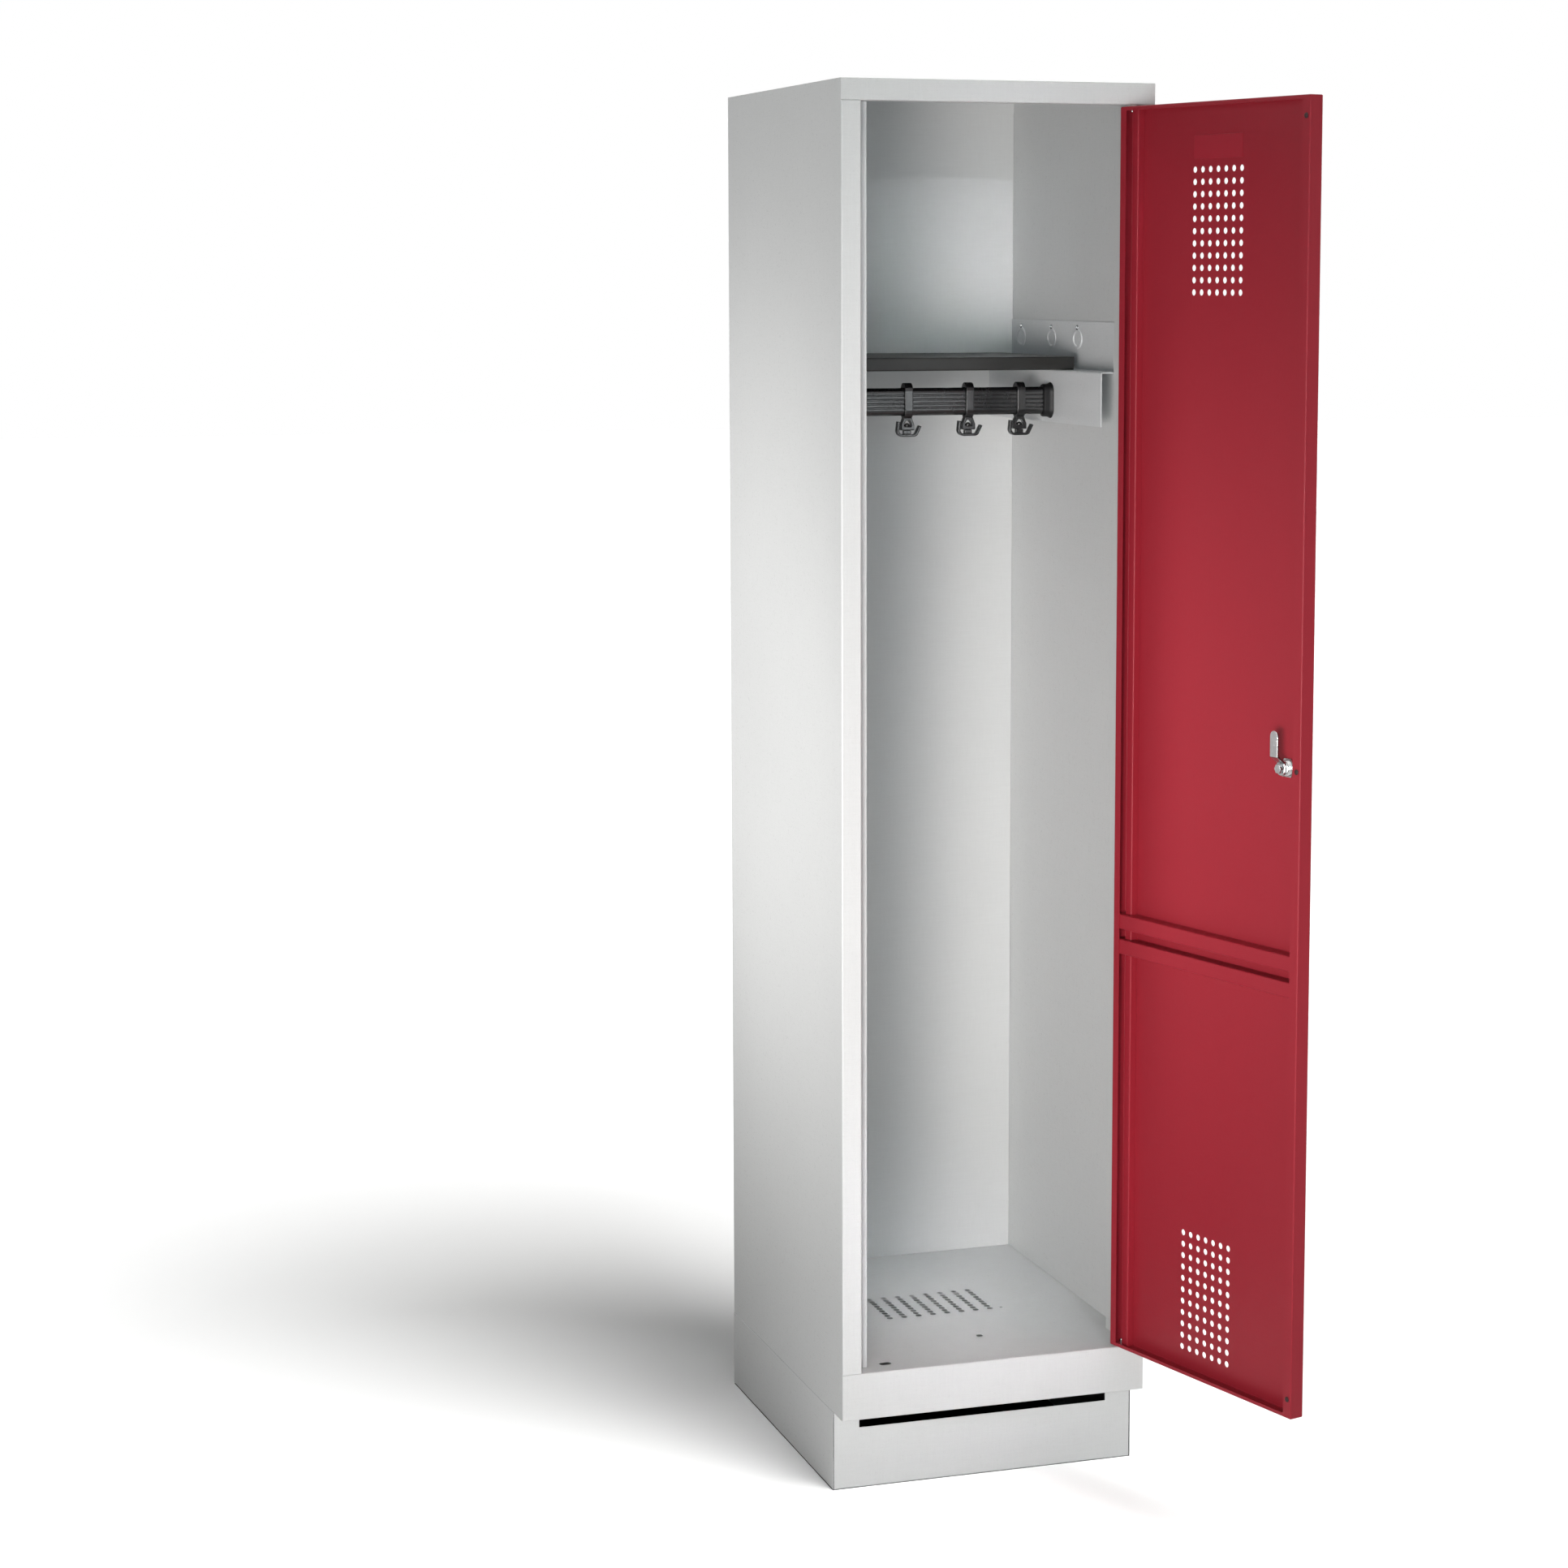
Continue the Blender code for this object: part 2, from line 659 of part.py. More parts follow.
def make_rail():
    """The hollow ribbed clothes rail and the two caps that hold its ends on the brackets."""
    insert = CAP_POCKET - FIT
    reach = CAP_INNER + insert
    place = (0.0, RAIL_Y, RAIL_Z)
    tube = prism("clothes_rail", rail_outline(), "X", -reach, reach)
    rail = add_part("clothes_rail", tube, BLACK, place=place)
    hollow_depth = RAIL_DEPTH / 2 - RAIL_GROOVE - RAIL_WALL
    hollow_height = RAIL_HEIGHT / 2 - RAIL_WALL
    hollow = stadium(hollow_depth, -hollow_height, hollow_height, 4)
    boolean(rail, prism("hollow", hollow, "X", -reach - CUT_OVER, reach + CUT_OVER), "hollow")
    pocket_depth = RAIL_DEPTH / 2 + FIT
    pocket_height = RAIL_HEIGHT / 2 + FIT
    pocket = stadium(pocket_depth, -pocket_height, pocket_height)
    cover_height = pocket_height + CAP_WALL
    cover = stadium(pocket_depth + CAP_WALL, -cover_height, cover_height)
    for name, side in (("left_rail_cap", -1), ("right_rail_cap", 1)):
        low, high = sorted((side * CAP_INNER, side * CAP_OUTER))
        cap = add_part(name, prism(name, cover, "X", low, high), BLACK, place=place)
        low, high = sorted((side * (CAP_INNER - CUT_OVER), side * (CAP_INNER + CAP_POCKET)))
        boolean(cap, prism("pocket", pocket, "X", low, high), "pocket")


def carrier_mesh():
    """A ring that slides on the rail, with an arch below it for the double hook's head."""
    half = RING_WIDTH / 2
    top = RING_INNER_HEIGHT + RING_TOP
    outer = stadium(RING_INNER_DEPTH + RING_SIDE, RING_LOW, top)
    inner = stadium(RING_INNER_DEPTH, -RING_INNER_HEIGHT, RING_INNER_HEIGHT)
    ring = add_part("carrier_form", prism("ring", outer, "X", -half, half), BLACK)
    boolean(ring, prism("rail_way", inner, "X", -half - CUT_OVER, half + CUT_OVER), "rail_way")
    root = RING_LOW + RING_BOTTOM * 0.7
    shoulder = WINDOW_LOW + WINDOW_HEIGHT * 0.3
    arch = [
        (-half * 0.9, root),
        (-ARCH_HALF_WIDTH, shoulder),
        (-ARCH_HALF_WIDTH, ARCH_LOW),
        (ARCH_HALF_WIDTH, ARCH_LOW),
        (ARCH_HALF_WIDTH, shoulder),
        (half * 0.9, root),
    ]
    deep = ARCH_DEPTH / 2
    boolean(ring, prism("arch", arch, "Y", -deep, deep), "arch", "UNION")
    window_top = WINDOW_LOW + WINDOW_HEIGHT
    window = [
        (-WINDOW_HALF_WIDTH, WINDOW_LOW),
        (WINDOW_HALF_WIDTH, WINDOW_LOW),
        (WINDOW_HALF_WIDTH, WINDOW_LOW + WINDOW_HEIGHT * 0.5),
        (WINDOW_HALF_WIDTH * 0.45, window_top),
        (-WINDOW_HALF_WIDTH * 0.45, window_top),
        (-WINDOW_HALF_WIDTH, WINDOW_LOW + WINDOW_HEIGHT * 0.5),
    ]
    boolean(ring, prism("window", window, "Y", -deep - CUT_OVER, deep + CUT_OVER), "window")
    bore = circle((0.0, 0.0), NECK_RADIUS + NECK_PLAY, 16)
    boolean(ring, prism("bore", bore, "Z", ARCH_LOW - CUT_OVER, WINDOW_LOW + FIT), "bore")
    return finished_mesh(ring, "hook_carrier")


def arc(middle, radius, start, end, steps):
    """Points of an arc, in degrees."""
    angles = [math.radians(start + (end - start) * k / steps) for k in range(steps + 1)]
    return [(middle[0] + radius * math.cos(a), middle[1] + radius * math.sin(a)) for a in angles]


def double_hook_mesh():
    """A block on a headed neck, with a curled arm on one side and a slanting fin on the other."""
    middle_x = HOOK_INNER + HOOK_ARM / 2
    base = BLOCK_LOW + HOOK_ARM / 2
    bend = HOOK_BLOCK[1] * 0.8
    curl = [(-middle_x + HOOK_ARM * 0.4, base + bend + HOOK_CURL_RISE)]
    curl += arc((-middle_x + bend, base + bend), bend, 180, 270, 6)
    fin = arc((HOOK_INNER * 0.7, base + bend), bend, 270, 310, 3)
    fin.append((HOOK_FIN_REACH, base + bend + HOOK_FIN_RISE))
    deep = HOOK_DEPTH / 2
    arms = centred_strip(curl + fin, HOOK_ARM)
    hook = add_part("hook_form", prism("arms", arms, "Y", -deep, deep), BLACK)
    half = HOOK_BLOCK[0] / 2
    inset = HOOK_ARM * 0.3
    low = (-half, -deep + inset, BLOCK_LOW + inset)
    boolean(hook, block("block", low, (half, deep - inset, BLOCK_TOP)), "block", "UNION")
    head_low = WINDOW_LOW + FIT
    neck = [
        (NECK_RADIUS, BLOCK_LOW + HOOK_BLOCK[1] / 2),
        (NECK_RADIUS, head_low),
        (HEAD_RADIUS, head_low),
        (HEAD_RADIUS, head_low + HEAD_HEIGHT * 0.5),
        (HEAD_RADIUS * 0.6, head_low + HEAD_HEIGHT),
    ]
    boolean(hook, turned("neck", neck, "Z", 16), "neck", "UNION")
    return finished_mesh(hook, "double_hook")


def make_hooks():
    """Three carriers on the rail, each with its own double hook."""
    carrier = carrier_mesh()
    hook = double_hook_mesh()
    for number, spot in enumerate(HOOK_SPOTS, 1):
        place = (CAP_INNER - spot, RAIL_Y, RAIL_Z)
        add_part(f"hook_carrier_{number}", carrier.copy(), BLACK, place=place)
        add_part(f"double_hook_{number}", hook.copy(), BLACK, place=place)


def make_door():
    """The door pan, its stiffeners and its buffers, on the hinge axis."""
    axis = add_axis("door_hinge_axis", PIVOT, turn=math.radians(OPEN_DEGREES))
    hinge_edge = PIVOT_IN
    free_edge = PIVOT_IN - DOOR_WIDTH
    outside = -PIVOT_BACK
    inside = outside + DOOR_DEPTH
    middle = (hinge_edge + free_edge) / 2 + VENT_TO_HINGE
    shell = block("door_panel", (free_edge, outside, DOOR_LOW), (hinge_edge, inside, DOOR_TOP))
    panel = add_part("door_panel", shell, RED, axis)
    low = (free_edge + SHEET, outside + SHEET, DOOR_LOW + SHEET)
    high = (hinge_edge - SHEET, inside - SHEET, DOOR_TOP - SHEET)
    boolean(panel, block("pan", low, high), "pan")
    low = (free_edge + FREE_LIP, inside - DOOR_DEPTH / 2, DOOR_LOW + SHEET + END_LIP)
    high = (hinge_edge - HINGE_LIP, inside + CUT_OVER, DOOR_TOP - SHEET - END_LIP)
    boolean(panel, block("mouth", low, high), "mouth")
    rise = (VENT_ROWS - 1) / 2 * VENT_PITCH
    vents = []
    for level in (DOOR_TOP - VENT_TOP - rise, DOOR_LOW + VENT_BOTTOM + rise):
        places = grid(VENT_COLUMNS, VENT_ROWS, VENT_PITCH, VENT_PITCH, (middle, level))
        vents += [circle(place, VENT_RADIUS, HOLE_SIDES) for place in places]
    lock_x = free_edge + LOCK_IN
    vents.append(circle((lock_x, DOOR_MIDDLE), LOCK_RADIUS + FIT))
    through = prisms("vents", vents, "Y", outside - CUT_OVER, outside + CUT_OVER)
    boolean(panel, through, "vents")
    label_x = LABEL_SIZE[0] / 2
    label_top = DOOR_TOP - LABEL_TOP
    low = (middle - label_x, outside - CUT_OVER, label_top - LABEL_SIZE[1])
    label = block("label", low, (middle + label_x, outside + LABEL_SINK, label_top))
    boolean(panel, label, "label")
    for end, level in (("low_pin", DOOR_LOW), ("top_pin", DOOR_TOP)):
        hole = prism(end, circle((0.0, 0.0), PIN_RADIUS + PIN_RUN), "Z", level - CUT_OVER, level + CUT_OVER)
        boolean(panel, hole, end)
    make_buffers(axis, panel, free_edge + BUFFER_IN, inside)
    make_stiffeners(axis, hinge_edge, free_edge, outside)
    make_lock(axis, lock_x, outside)


def make_buffers(axis, panel, across, lip_face):
    """Three rubber buffers in holes of the door's free lip."""
    levels = (DOOR_TOP - BUFFER_FROM_END, DOOR_MIDDLE, DOOR_LOW + BUFFER_FROM_END)
    holes = [circle((across, level), BUFFER_STEM_RADIUS + FIT, 12) for level in levels]
    low = lip_face - SHEET * 3
    boolean(panel, prisms("buffer_holes", holes, "Y", low, lip_face + CUT_OVER), "buffer_holes")
    seat = lip_face + FIT
    profile = [
        (BUFFER_STEM_RADIUS, seat - BUFFER_STEM),
        (BUFFER_STEM_RADIUS, seat),
        (BUFFER_HEAD_RADIUS, seat),
        (BUFFER_HEAD_RADIUS * 0.8, seat + BUFFER_HEAD),
    ]
    for name, level in zip(("top", "middle", "low"), levels):
        buffer_name = f"{name}_door_buffer"
        mesh = turned(buffer_name, profile, "Y", 12)
        add_part(buffer_name, mesh, RUBBER, axis, (across, 0.0, level))


def make_stiffeners(axis, hinge_edge, free_edge, outside):
    """The upright channel along the hinge side, and the two crossbars that bridge it under the lips."""
    seat = outside + SHEET + FIT
    near = hinge_edge - STIFFENER_IN
    far = near - STIFFENER_WIDTH
    crest = seat + STIFFENER_DEPTH
    path = [(far, seat), (far, crest), (near, crest), (near, seat)]
    low = DOOR_LOW + SHEET + FIT
    high = DOOR_TOP - SHEET - FIT
    mesh = prism("hinge_stiffener", strip(path, SHEET), "Z", low, high)
    add_part("hinge_stiffener", mesh, RED, axis)
    bridge = block("bridge", (far - FIT, seat - CUT_OVER, low), (near + FIT, crest + FIT, high))
    start = free_edge + SHEET + FIT
    end = hinge_edge - SHEET - FIT
    crest = outside + DOOR_DEPTH - SHEET - FIT
    for name, rise in (("lower_crossbar", LOWER_BAR_RISE), ("upper_crossbar", UPPER_BAR_RISE)):
        low = DOOR_LOW + rise
        high = low + BAR_HEIGHT
        path = [(seat, high), (crest, high), (crest, low), (seat, low)]
        bar = add_part(name, prism(name, strip(path, SHEET), "X", start, end), RED, axis)
        boolean(bar, bridge.copy(), "bridge")


def make_lock(door_axis, across, outside):
    """The cam lock: body, nut, and the plug, cam and cam nut that turn together."""
    bore = PLUG_RADIUS + PLUG_PLAY
    face = -FIT - ROSETTE
    body = [
        (bore, face),
        (ROSETTE_RADIUS - ROSETTE_EDGE, face),
        (ROSETTE_RADIUS, face + ROSETTE_EDGE),
        (ROSETTE_RADIUS, -FIT),
        (LOCK_RADIUS, -FIT),
        (LOCK_RADIUS, LOCK_LENGTH),
        (bore, LOCK_LENGTH),
    ]
    place = (across, outside, DOOR_MIDDLE)
    add_part("lock_body", turned("lock_body", body, "Y", closed=True), ZINC, door_axis, place)
    low = SHEET + FIT
    nut_mesh = prism("lock_nut", hexagon((0.0, 0.0), LOCK_NUT_FLATS), "Y", low, low + LOCK_NUT)
    nut = add_part("lock_nut", nut_mesh, ZINC, door_axis, place)
    thread = circle((0.0, 0.0), LOCK_RADIUS + FIT)
    way = prism("thread", thread, "Y", low - CUT_OVER, low + LOCK_NUT + CUT_OVER)
    boolean(nut, way, "thread")
    axis = add_axis("lock_axis", place, door_axis)
    cam_low = LOCK_LENGTH + 2 * FIT
    cam_high = cam_low + CAM_SHEET
    plug = [
        (PLUG_RADIUS, face - FIT),
        (PLUG_RADIUS, cam_low - FIT),
        (SPIGOT_RADIUS, cam_low - FIT),
        (SPIGOT_RADIUS, cam_high),
    ]
    core = add_part("lock_plug", turned("lock_plug", plug, "Y"), ZINC, axis)
    half, tall = KEYWAY[0] / 2, KEYWAY[1] / 2
    keyway = block("keyway", (-half, face - CUT_OVER, -tall), (half, face - FIT + KEYWAY[2], tall))
    boolean(core, keyway, "keyway")
    make_cam(axis, cam_low)
    seat = cam_high + FIT
    cam_nut = prism("cam_nut", hexagon((0.0, 0.0), CAM_NUT_FLATS), "Y", seat, seat + CAM_NUT)
    add_part("cam_nut", cam_nut, ZINC, axis)


def make_cam(axis, low):
    """The cranked cam, pointing up. Its tip passes behind the door stop when it is turned outwards."""
    tip = REBATE + SHEET + 4 * FIT
    path = [
        (low, -CAM_HUB),
        (low, CAM_BEND),
        (tip, CAM_BEND + CAM_RUN),
        (tip, CAM_REACH),
    ]
    half = CAM_WIDTH / 2
    cam = add_part("lock_cam", prism("lock_cam", strip(path, CAM_SHEET), "X", -half, half), ZINC, axis)
    ends = arc((0.0, CAM_REACH - half), half, 0, 180, 8) + arc((0.0, 0.0), CAM_HUB, 215, 325, 8)
    plan = prism("plan", ends, "Y", low - CUT_OVER, tip + 2 * CUT_OVER)
    boolean(cam, plan, "plan", "INTERSECT")
    hole = circle((0.0, 0.0), SPIGOT_RADIUS + FIT)
    boolean(cam, prism("spigot_hole", hole, "Y", low - CUT_OVER, low + CUT_OVER), "spigot_hole")


def make_hinge_pins():
    """Headed pins in the sill and the band, with a washer on each below or above the door."""
    ends = (
        ("lower", SILL_TOP - SHEET - FIT, -1, SILL_TOP + FIT, DOOR_LOW - FIT, DOOR_LOW + PIN_REACH),
        ("upper", BAND_LOW + SHEET + FIT, 1, BAND_LOW - FIT, DOOR_TOP + FIT, DOOR_TOP - PIN_REACH),
    )
    place = (PIVOT.x, PIVOT.y, 0.0)
    for name, seat, away, washer_a, washer_b, tip in ends:
        pin = [
            (PIN_HEAD_RADIUS, seat + away * PIN_HEAD),
            (PIN_HEAD_RADIUS, seat),
            (PIN_RADIUS, seat),
            (PIN_RADIUS, tip + away * PIN_RADIUS / 3),
            (PIN_RADIUS * 0.7, tip),
        ]
        add_part(f"{name}_hinge_pin", turned(f"{name}_hinge_pin", pin, "Z"), ZINC, place=place)
        bore = PIN_RADIUS + FIT
        ring = [(bore, washer_a), (WASHER_RADIUS, washer_a), (WASHER_RADIUS, washer_b), (bore, washer_b)]
        washer = turned(f"{name}_hinge_washer", ring, "Z", closed=True)
        add_part(f"{name}_hinge_washer", washer, WHITE_PLASTIC, place=place)


def main():
    """Builds the whole locker."""
    start_scene()
    make_side_panels()
    make_top_and_back()
    make_floor_panel()
    make_plinth()
    make_shelf()
    make_rail()
    make_hooks()
    make_door()
    make_hinge_pins()


main()
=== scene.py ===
"""Dresses the steel clothing locker: folded painted sheet, rail, hooks, door, lock, light and camera."""

import logging
import math
from collections.abc import Sequence
from dataclasses import dataclass, replace
from enum import Enum
from typing import Any

import bmesh
import bpy
from mathutils import Matrix, Vector


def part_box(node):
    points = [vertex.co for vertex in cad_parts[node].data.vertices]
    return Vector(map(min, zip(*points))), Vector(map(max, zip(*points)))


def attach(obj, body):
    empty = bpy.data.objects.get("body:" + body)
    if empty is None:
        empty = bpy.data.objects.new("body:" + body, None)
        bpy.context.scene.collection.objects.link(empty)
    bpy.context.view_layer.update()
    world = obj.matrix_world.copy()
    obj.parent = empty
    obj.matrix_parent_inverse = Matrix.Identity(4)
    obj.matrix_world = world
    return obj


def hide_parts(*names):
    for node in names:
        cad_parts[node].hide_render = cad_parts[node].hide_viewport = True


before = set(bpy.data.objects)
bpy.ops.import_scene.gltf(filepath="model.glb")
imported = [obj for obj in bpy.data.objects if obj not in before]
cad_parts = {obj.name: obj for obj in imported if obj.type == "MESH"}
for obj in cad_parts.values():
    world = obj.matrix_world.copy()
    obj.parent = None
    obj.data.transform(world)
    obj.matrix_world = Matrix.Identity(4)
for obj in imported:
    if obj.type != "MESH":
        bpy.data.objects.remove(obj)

LOG = logging.getLogger("locker")
FIT = 0.0003
CUT_OVER = 0.004
SHEET_BEND = 0.0018
BEND_STEPS = 5
EDGE_STEPS = 3
ROUND_STEPS = 12
SMOOTH_DEGREES = 35.0
FLAT_DEGREES = 1.0
MERGE = 1e-7
NODE_MERGE = 1e-6

Point = tuple[float, float]
Place = tuple[float, float, float]
Colour = tuple[float, float, float]
Piece = bpy.types.Object
Material = bpy.types.Material

UNTURNED: Place = (0.0, 0.0, 0.0)
WHITE = (1.0, 1.0, 1.0, 1.0)


class Along(Enum):
    """Axis along which a flat section is drawn out, as the places of its three coordinates."""

    X = (1, 2, 0)
    Y = (0, 2, 1)
    Z = (0, 1, 2)

    def place(self, point: Point, level: float) -> Vector:
        """Gives the place in space of one point of the section.

        Args:
            point: The point in the section.
            level: How far along the axis it lies.

        Returns:
            The place.
        """
        spot = Vector((0.0, 0.0, 0.0))
        first, second, third = self.value
        spot[first] = point[0]
        spot[second] = point[1]
        spot[third] = level
        return spot


class Side(Enum):
    """The two sides of the cabinet, with the sign of their x."""

    LEFT = -1
    RIGHT = 1

    @property
    def word(self) -> str:
        """The side's word in the names of pieces."""
        return self.name.lower()

    def outline(self, points: list[Point]) -> list[Point]:
        """Puts a right-hand outline on this side."""
        return [(self.value * a, b) for a, b in points]

    def path(self, points: list[Point]) -> list[Point]:
        """Puts a right-hand fold path on this side and keeps the sheet on its right."""
        return self.outline(points)[:: self.value]


class Slot(Enum):
    """The record's material slots."""

    CABINET = "cabinet_paint"
    DOOR = "door_paint"
    SHELF = "shelf_paint"
    PLASTIC = "black_plastic"
    ZINC = "zinc_steel"
    CHROME = "lock_chrome"
    WASHER = "washer_plastic"
    RUBBER = "buffer_rubber"


class Socket:
    """A node's output that can be used in sums, which add their own Math nodes."""

    def __init__(self, graph: "Graph", socket: bpy.types.NodeSocket | None) -> None:
        """Keeps the output and the graph that it belongs to."""
        self.graph = graph
        self.socket = socket

    def _sum(self, operation: str, first: Any, second: Any) -> "Socket":
        """Adds one Math node to the graph."""
        return self.graph.node("ShaderNodeMath", {"operation": operation}, {0: first, 1: second})

    def __add__(self, other: Any) -> "Socket":
        """Adds a value or a socket."""
        return self._sum("ADD", self, other)

    def __radd__(self, other: Any) -> "Socket":
        """Adds to a value."""
        return self._sum("ADD", other, self)

    def __sub__(self, other: Any) -> "Socket":
        """Takes a value or a socket away."""
        return self._sum("SUBTRACT", self, other)

    def __rsub__(self, other: Any) -> "Socket":
        """Takes this away from a value."""
        return self._sum("SUBTRACT", other, self)

    def __mul__(self, other: Any) -> "Socket":
        """Multiplies by a value or a socket."""
        return self._sum("MULTIPLY", self, other)

    def below(self, limit: float) -> "Socket":
        """Gives one where this is less than a limit, and zero elsewhere."""
        return self._sum("LESS_THAN", self, limit)

    def unsigned(self) -> "Socket":
        """Drops the sign."""
        return self.graph.node("ShaderNodeMath", {"operation": "ABSOLUTE"}, {0: self})


class Graph:
    """A node tree that is built by one method."""

    def __init__(self, tree: bpy.types.NodeTree) -> None:
        """Keeps the tree that the nodes go into."""
        self.tree = tree

    def node(
        self,
        kind: str,
        settings: dict[str, Any] | None = None,
        sockets: dict[str | int, Any] | None = None,
        output: str | int = 0,
    ) -> Socket:
        """Adds a node of any type.

        Args:
            kind: The node's type.
            settings: Its own settings, which are set first.
            sockets: Values or links for its inputs, by name or place.
            output: The name or place of the output that is wanted.

        Returns:
            The wanted output.
        """
        made = self.tree.nodes.new(kind)
        for name, value in (settings or {}).items():
            setattr(made, name, value)
        for key, value in (sockets or {}).items():
            if isinstance(value, Socket):
                self.tree.links.new(value.socket, made.inputs[key])
            else:
                made.inputs[key].default_value = value
        return Socket(self, made.outputs[output] if len(made.outputs) else None)


class ShaderGraph(Graph):
    """A material's node tree, with the textures that the finishes share."""

    def __init__(self, name: str) -> None:
        """Starts an empty material with Object coordinates.

        Args:
            name: The material's name.
        """
        self.material = bpy.data.materials.new(name)
        self.material.use_nodes = True
        super().__init__(self.material.node_tree)
        self.tree.nodes.clear()
        self.place = self.node("ShaderNodeTexCoord", output="Object")

    def noise(self, scale: float, detail: float = 2.0, stretch: Place = (1.0, 1.0, 1.0)) -> Socket:
        """Adds soft noise around zero.

        Args:
            scale: Features per metre.
            detail: How many finer layers it has.
            stretch: Scale of each coordinate before the noise.

        Returns:
            The noise, from about -0.5 to 0.5.
        """
        stretched = {"Vector": self.place, "Scale": stretch}
        place = self.node("ShaderNodeMapping", {"vector_type": "POINT"}, stretched)
        sockets = {"Vector": place, "Scale": scale, "Detail": detail}
        return self.node("ShaderNodeTexNoise", None, sockets) - 0.5

    def tint(self, colour: Colour, change: Socket) -> Socket:
        """Makes a colour lighter or darker by a share.

        Args:
            colour: The middle colour.
            change: The share, from -0.5 to 0.5.

        Returns:
            The changed colour.
        """
        dark = (*(part * 0.5 for part in colour), 1.0)
        light = (*(part * 1.5 for part in colour), 1.0)
        return self.node("ShaderNodeMix", {"data_type": "RGBA"}, {0: change + 0.5, 6: dark, 7: light}, 2)

    def surface(self, sockets: dict[str, Any], height: Socket, depth: float) -> Material:
        """Closes the material with one shader and its bump.

        Args:
            sockets: Values or links of the shader's inputs.
            height: The bump's height, as a share of its depth.
            depth: The bump's depth in metres.

        Returns:
            The finished material.
        """
        bump = self.node("ShaderNodeBump", None, {"Height": height, "Distance": depth, "Strength": 1.0})
        shader = self.node("ShaderNodeBsdfPrincipled", None, {**sockets, "Normal": bump})
        self.node("ShaderNodeOutputMaterial", None, {"Surface": shader})
        return self.material


@dataclass(frozen=True)
class PowderCoat:
    """Baked paint on sheet steel: fine speckle, a crossed grain and a shallow orange peel.

    The sheet nearer to the middle plane than the given distance is painted near black, as painted shade.
    """

    name: str
    colour: Colour
    roughness: float
    gloss: float = 0.5
    cloud: float = 0.05
    cloud_scale: float = 5.0
    speckle: float = 0.07
    speckle_scale: float = 1500.0
    speckle_rough: float = 0.10
    speckle_rise: float = 0.25
    grain: float = 0.05
    grain_scale: float = 700.0
    grain_squeeze: float = 0.06
    grain_rise: float = 0.2
    peel_scale: float = 240.0
    peel_rough: float = 0.08
    peel_depth: float = 0.00007
    primed_within: float = 0.0

    def material(self) -> Material:
        """Builds the paint.

        Returns:
            The paint's material.
        """
        graph = ShaderGraph(self.name)
        squeeze = self.grain_squeeze
        cloud = graph.noise(self.cloud_scale, detail=3.0)
        speckle = graph.noise(self.speckle_scale, detail=1.0)
        upright = graph.noise(self.grain_scale, detail=1.0, stretch=(1.0, 1.0, squeeze))
        level = graph.noise(self.grain_scale, detail=1.0, stretch=(squeeze, squeeze, 1.0))
        peel = graph.noise(self.peel_scale)
        grain = upright + level
        colour = graph.tint(self.colour, cloud * self.cloud + speckle * self.speckle + grain * self.grain)
        # Painted shade: faces near the middle plane, the plinth's inner faces, get a near black colour.
        if self.primed_within:
            across = graph.node("ShaderNodeSeparateXYZ", None, {0: graph.place}, "X")
            inside = across.unsigned().below(self.primed_within)
            sockets = {0: inside, 6: colour, 7: (*PAINTED_SHADE_DARK, 1.0)}
            colour = graph.node("ShaderNodeMix", {"data_type": "RGBA"}, sockets, 2)
        roughness = self.roughness + peel * self.peel_rough + speckle * self.speckle_rough
        height = peel + speckle * self.speckle_rise + grain * self.grain_rise
        sockets = {"Base Color": colour, "Roughness": roughness, "Specular IOR Level": self.gloss}
        return graph.surface(sockets, height, self.peel_depth)


@dataclass(frozen=True)
class MouldedPlastic:
    """Moulded plastic or rubber with a fine spark-eroded skin."""

    name: str
    colour: Colour
    roughness: float
    gloss: float = 0.5
    cloud: float = 0.25
    cloud_scale: float = 60.0
    skin: float = 0.2
    skin_scale: float = 900.0
    uneven: float = 0.12
    depth: float = 0.000015

    def material(self) -> Material:
        """Builds the plastic.

        Returns:
            The plastic's material.
        """
        graph = ShaderGraph(self.name)
        cloud = graph.noise(self.cloud_scale)
        skin = graph.noise(self.skin_scale)
        colour = graph.tint(self.colour, cloud * self.cloud + skin * self.skin)
        roughness = self.roughness + cloud * self.uneven + skin * self.uneven
        sockets = {"Base Color": colour, "Roughness": roughness, "Specular IOR Level": self.gloss}
        return graph.surface(sockets, skin, self.depth)


@dataclass(frozen=True)
class PlatedMetal:
    """Zinc or chrome plating with fine rolling lines and uneven haze."""

    name: str
    colour: Colour
    roughness: float
    haze: float
    cloud: float = 0.25
    cloud_scale: float = 180.0
    cloud_rise: float = 0.5
    lines: float = 0.1
    lines_scale: float = 500.0
    lines_squeeze: Place = (0.15, 0.15, 6.0)
    lines_haze: float = 0.25
    depth: float = 0.000015

    def material(self) -> Material:
        """Builds the plating.

        Returns:
            The plating's material.
        """
        graph = ShaderGraph(self.name)
        cloud = graph.noise(self.cloud_scale, detail=3.0)
        lines = graph.noise(self.lines_scale, stretch=self.lines_squeeze)
        colour = graph.tint(self.colour, cloud * self.cloud + lines * self.lines)
        roughness = self.roughness + cloud * self.haze + lines * self.haze * self.lines_haze
        sockets = {"Base Color": colour, "Roughness": roughness, "Metallic": 1.0}
        return graph.surface(sockets, lines + cloud * self.cloud_rise, self.depth)


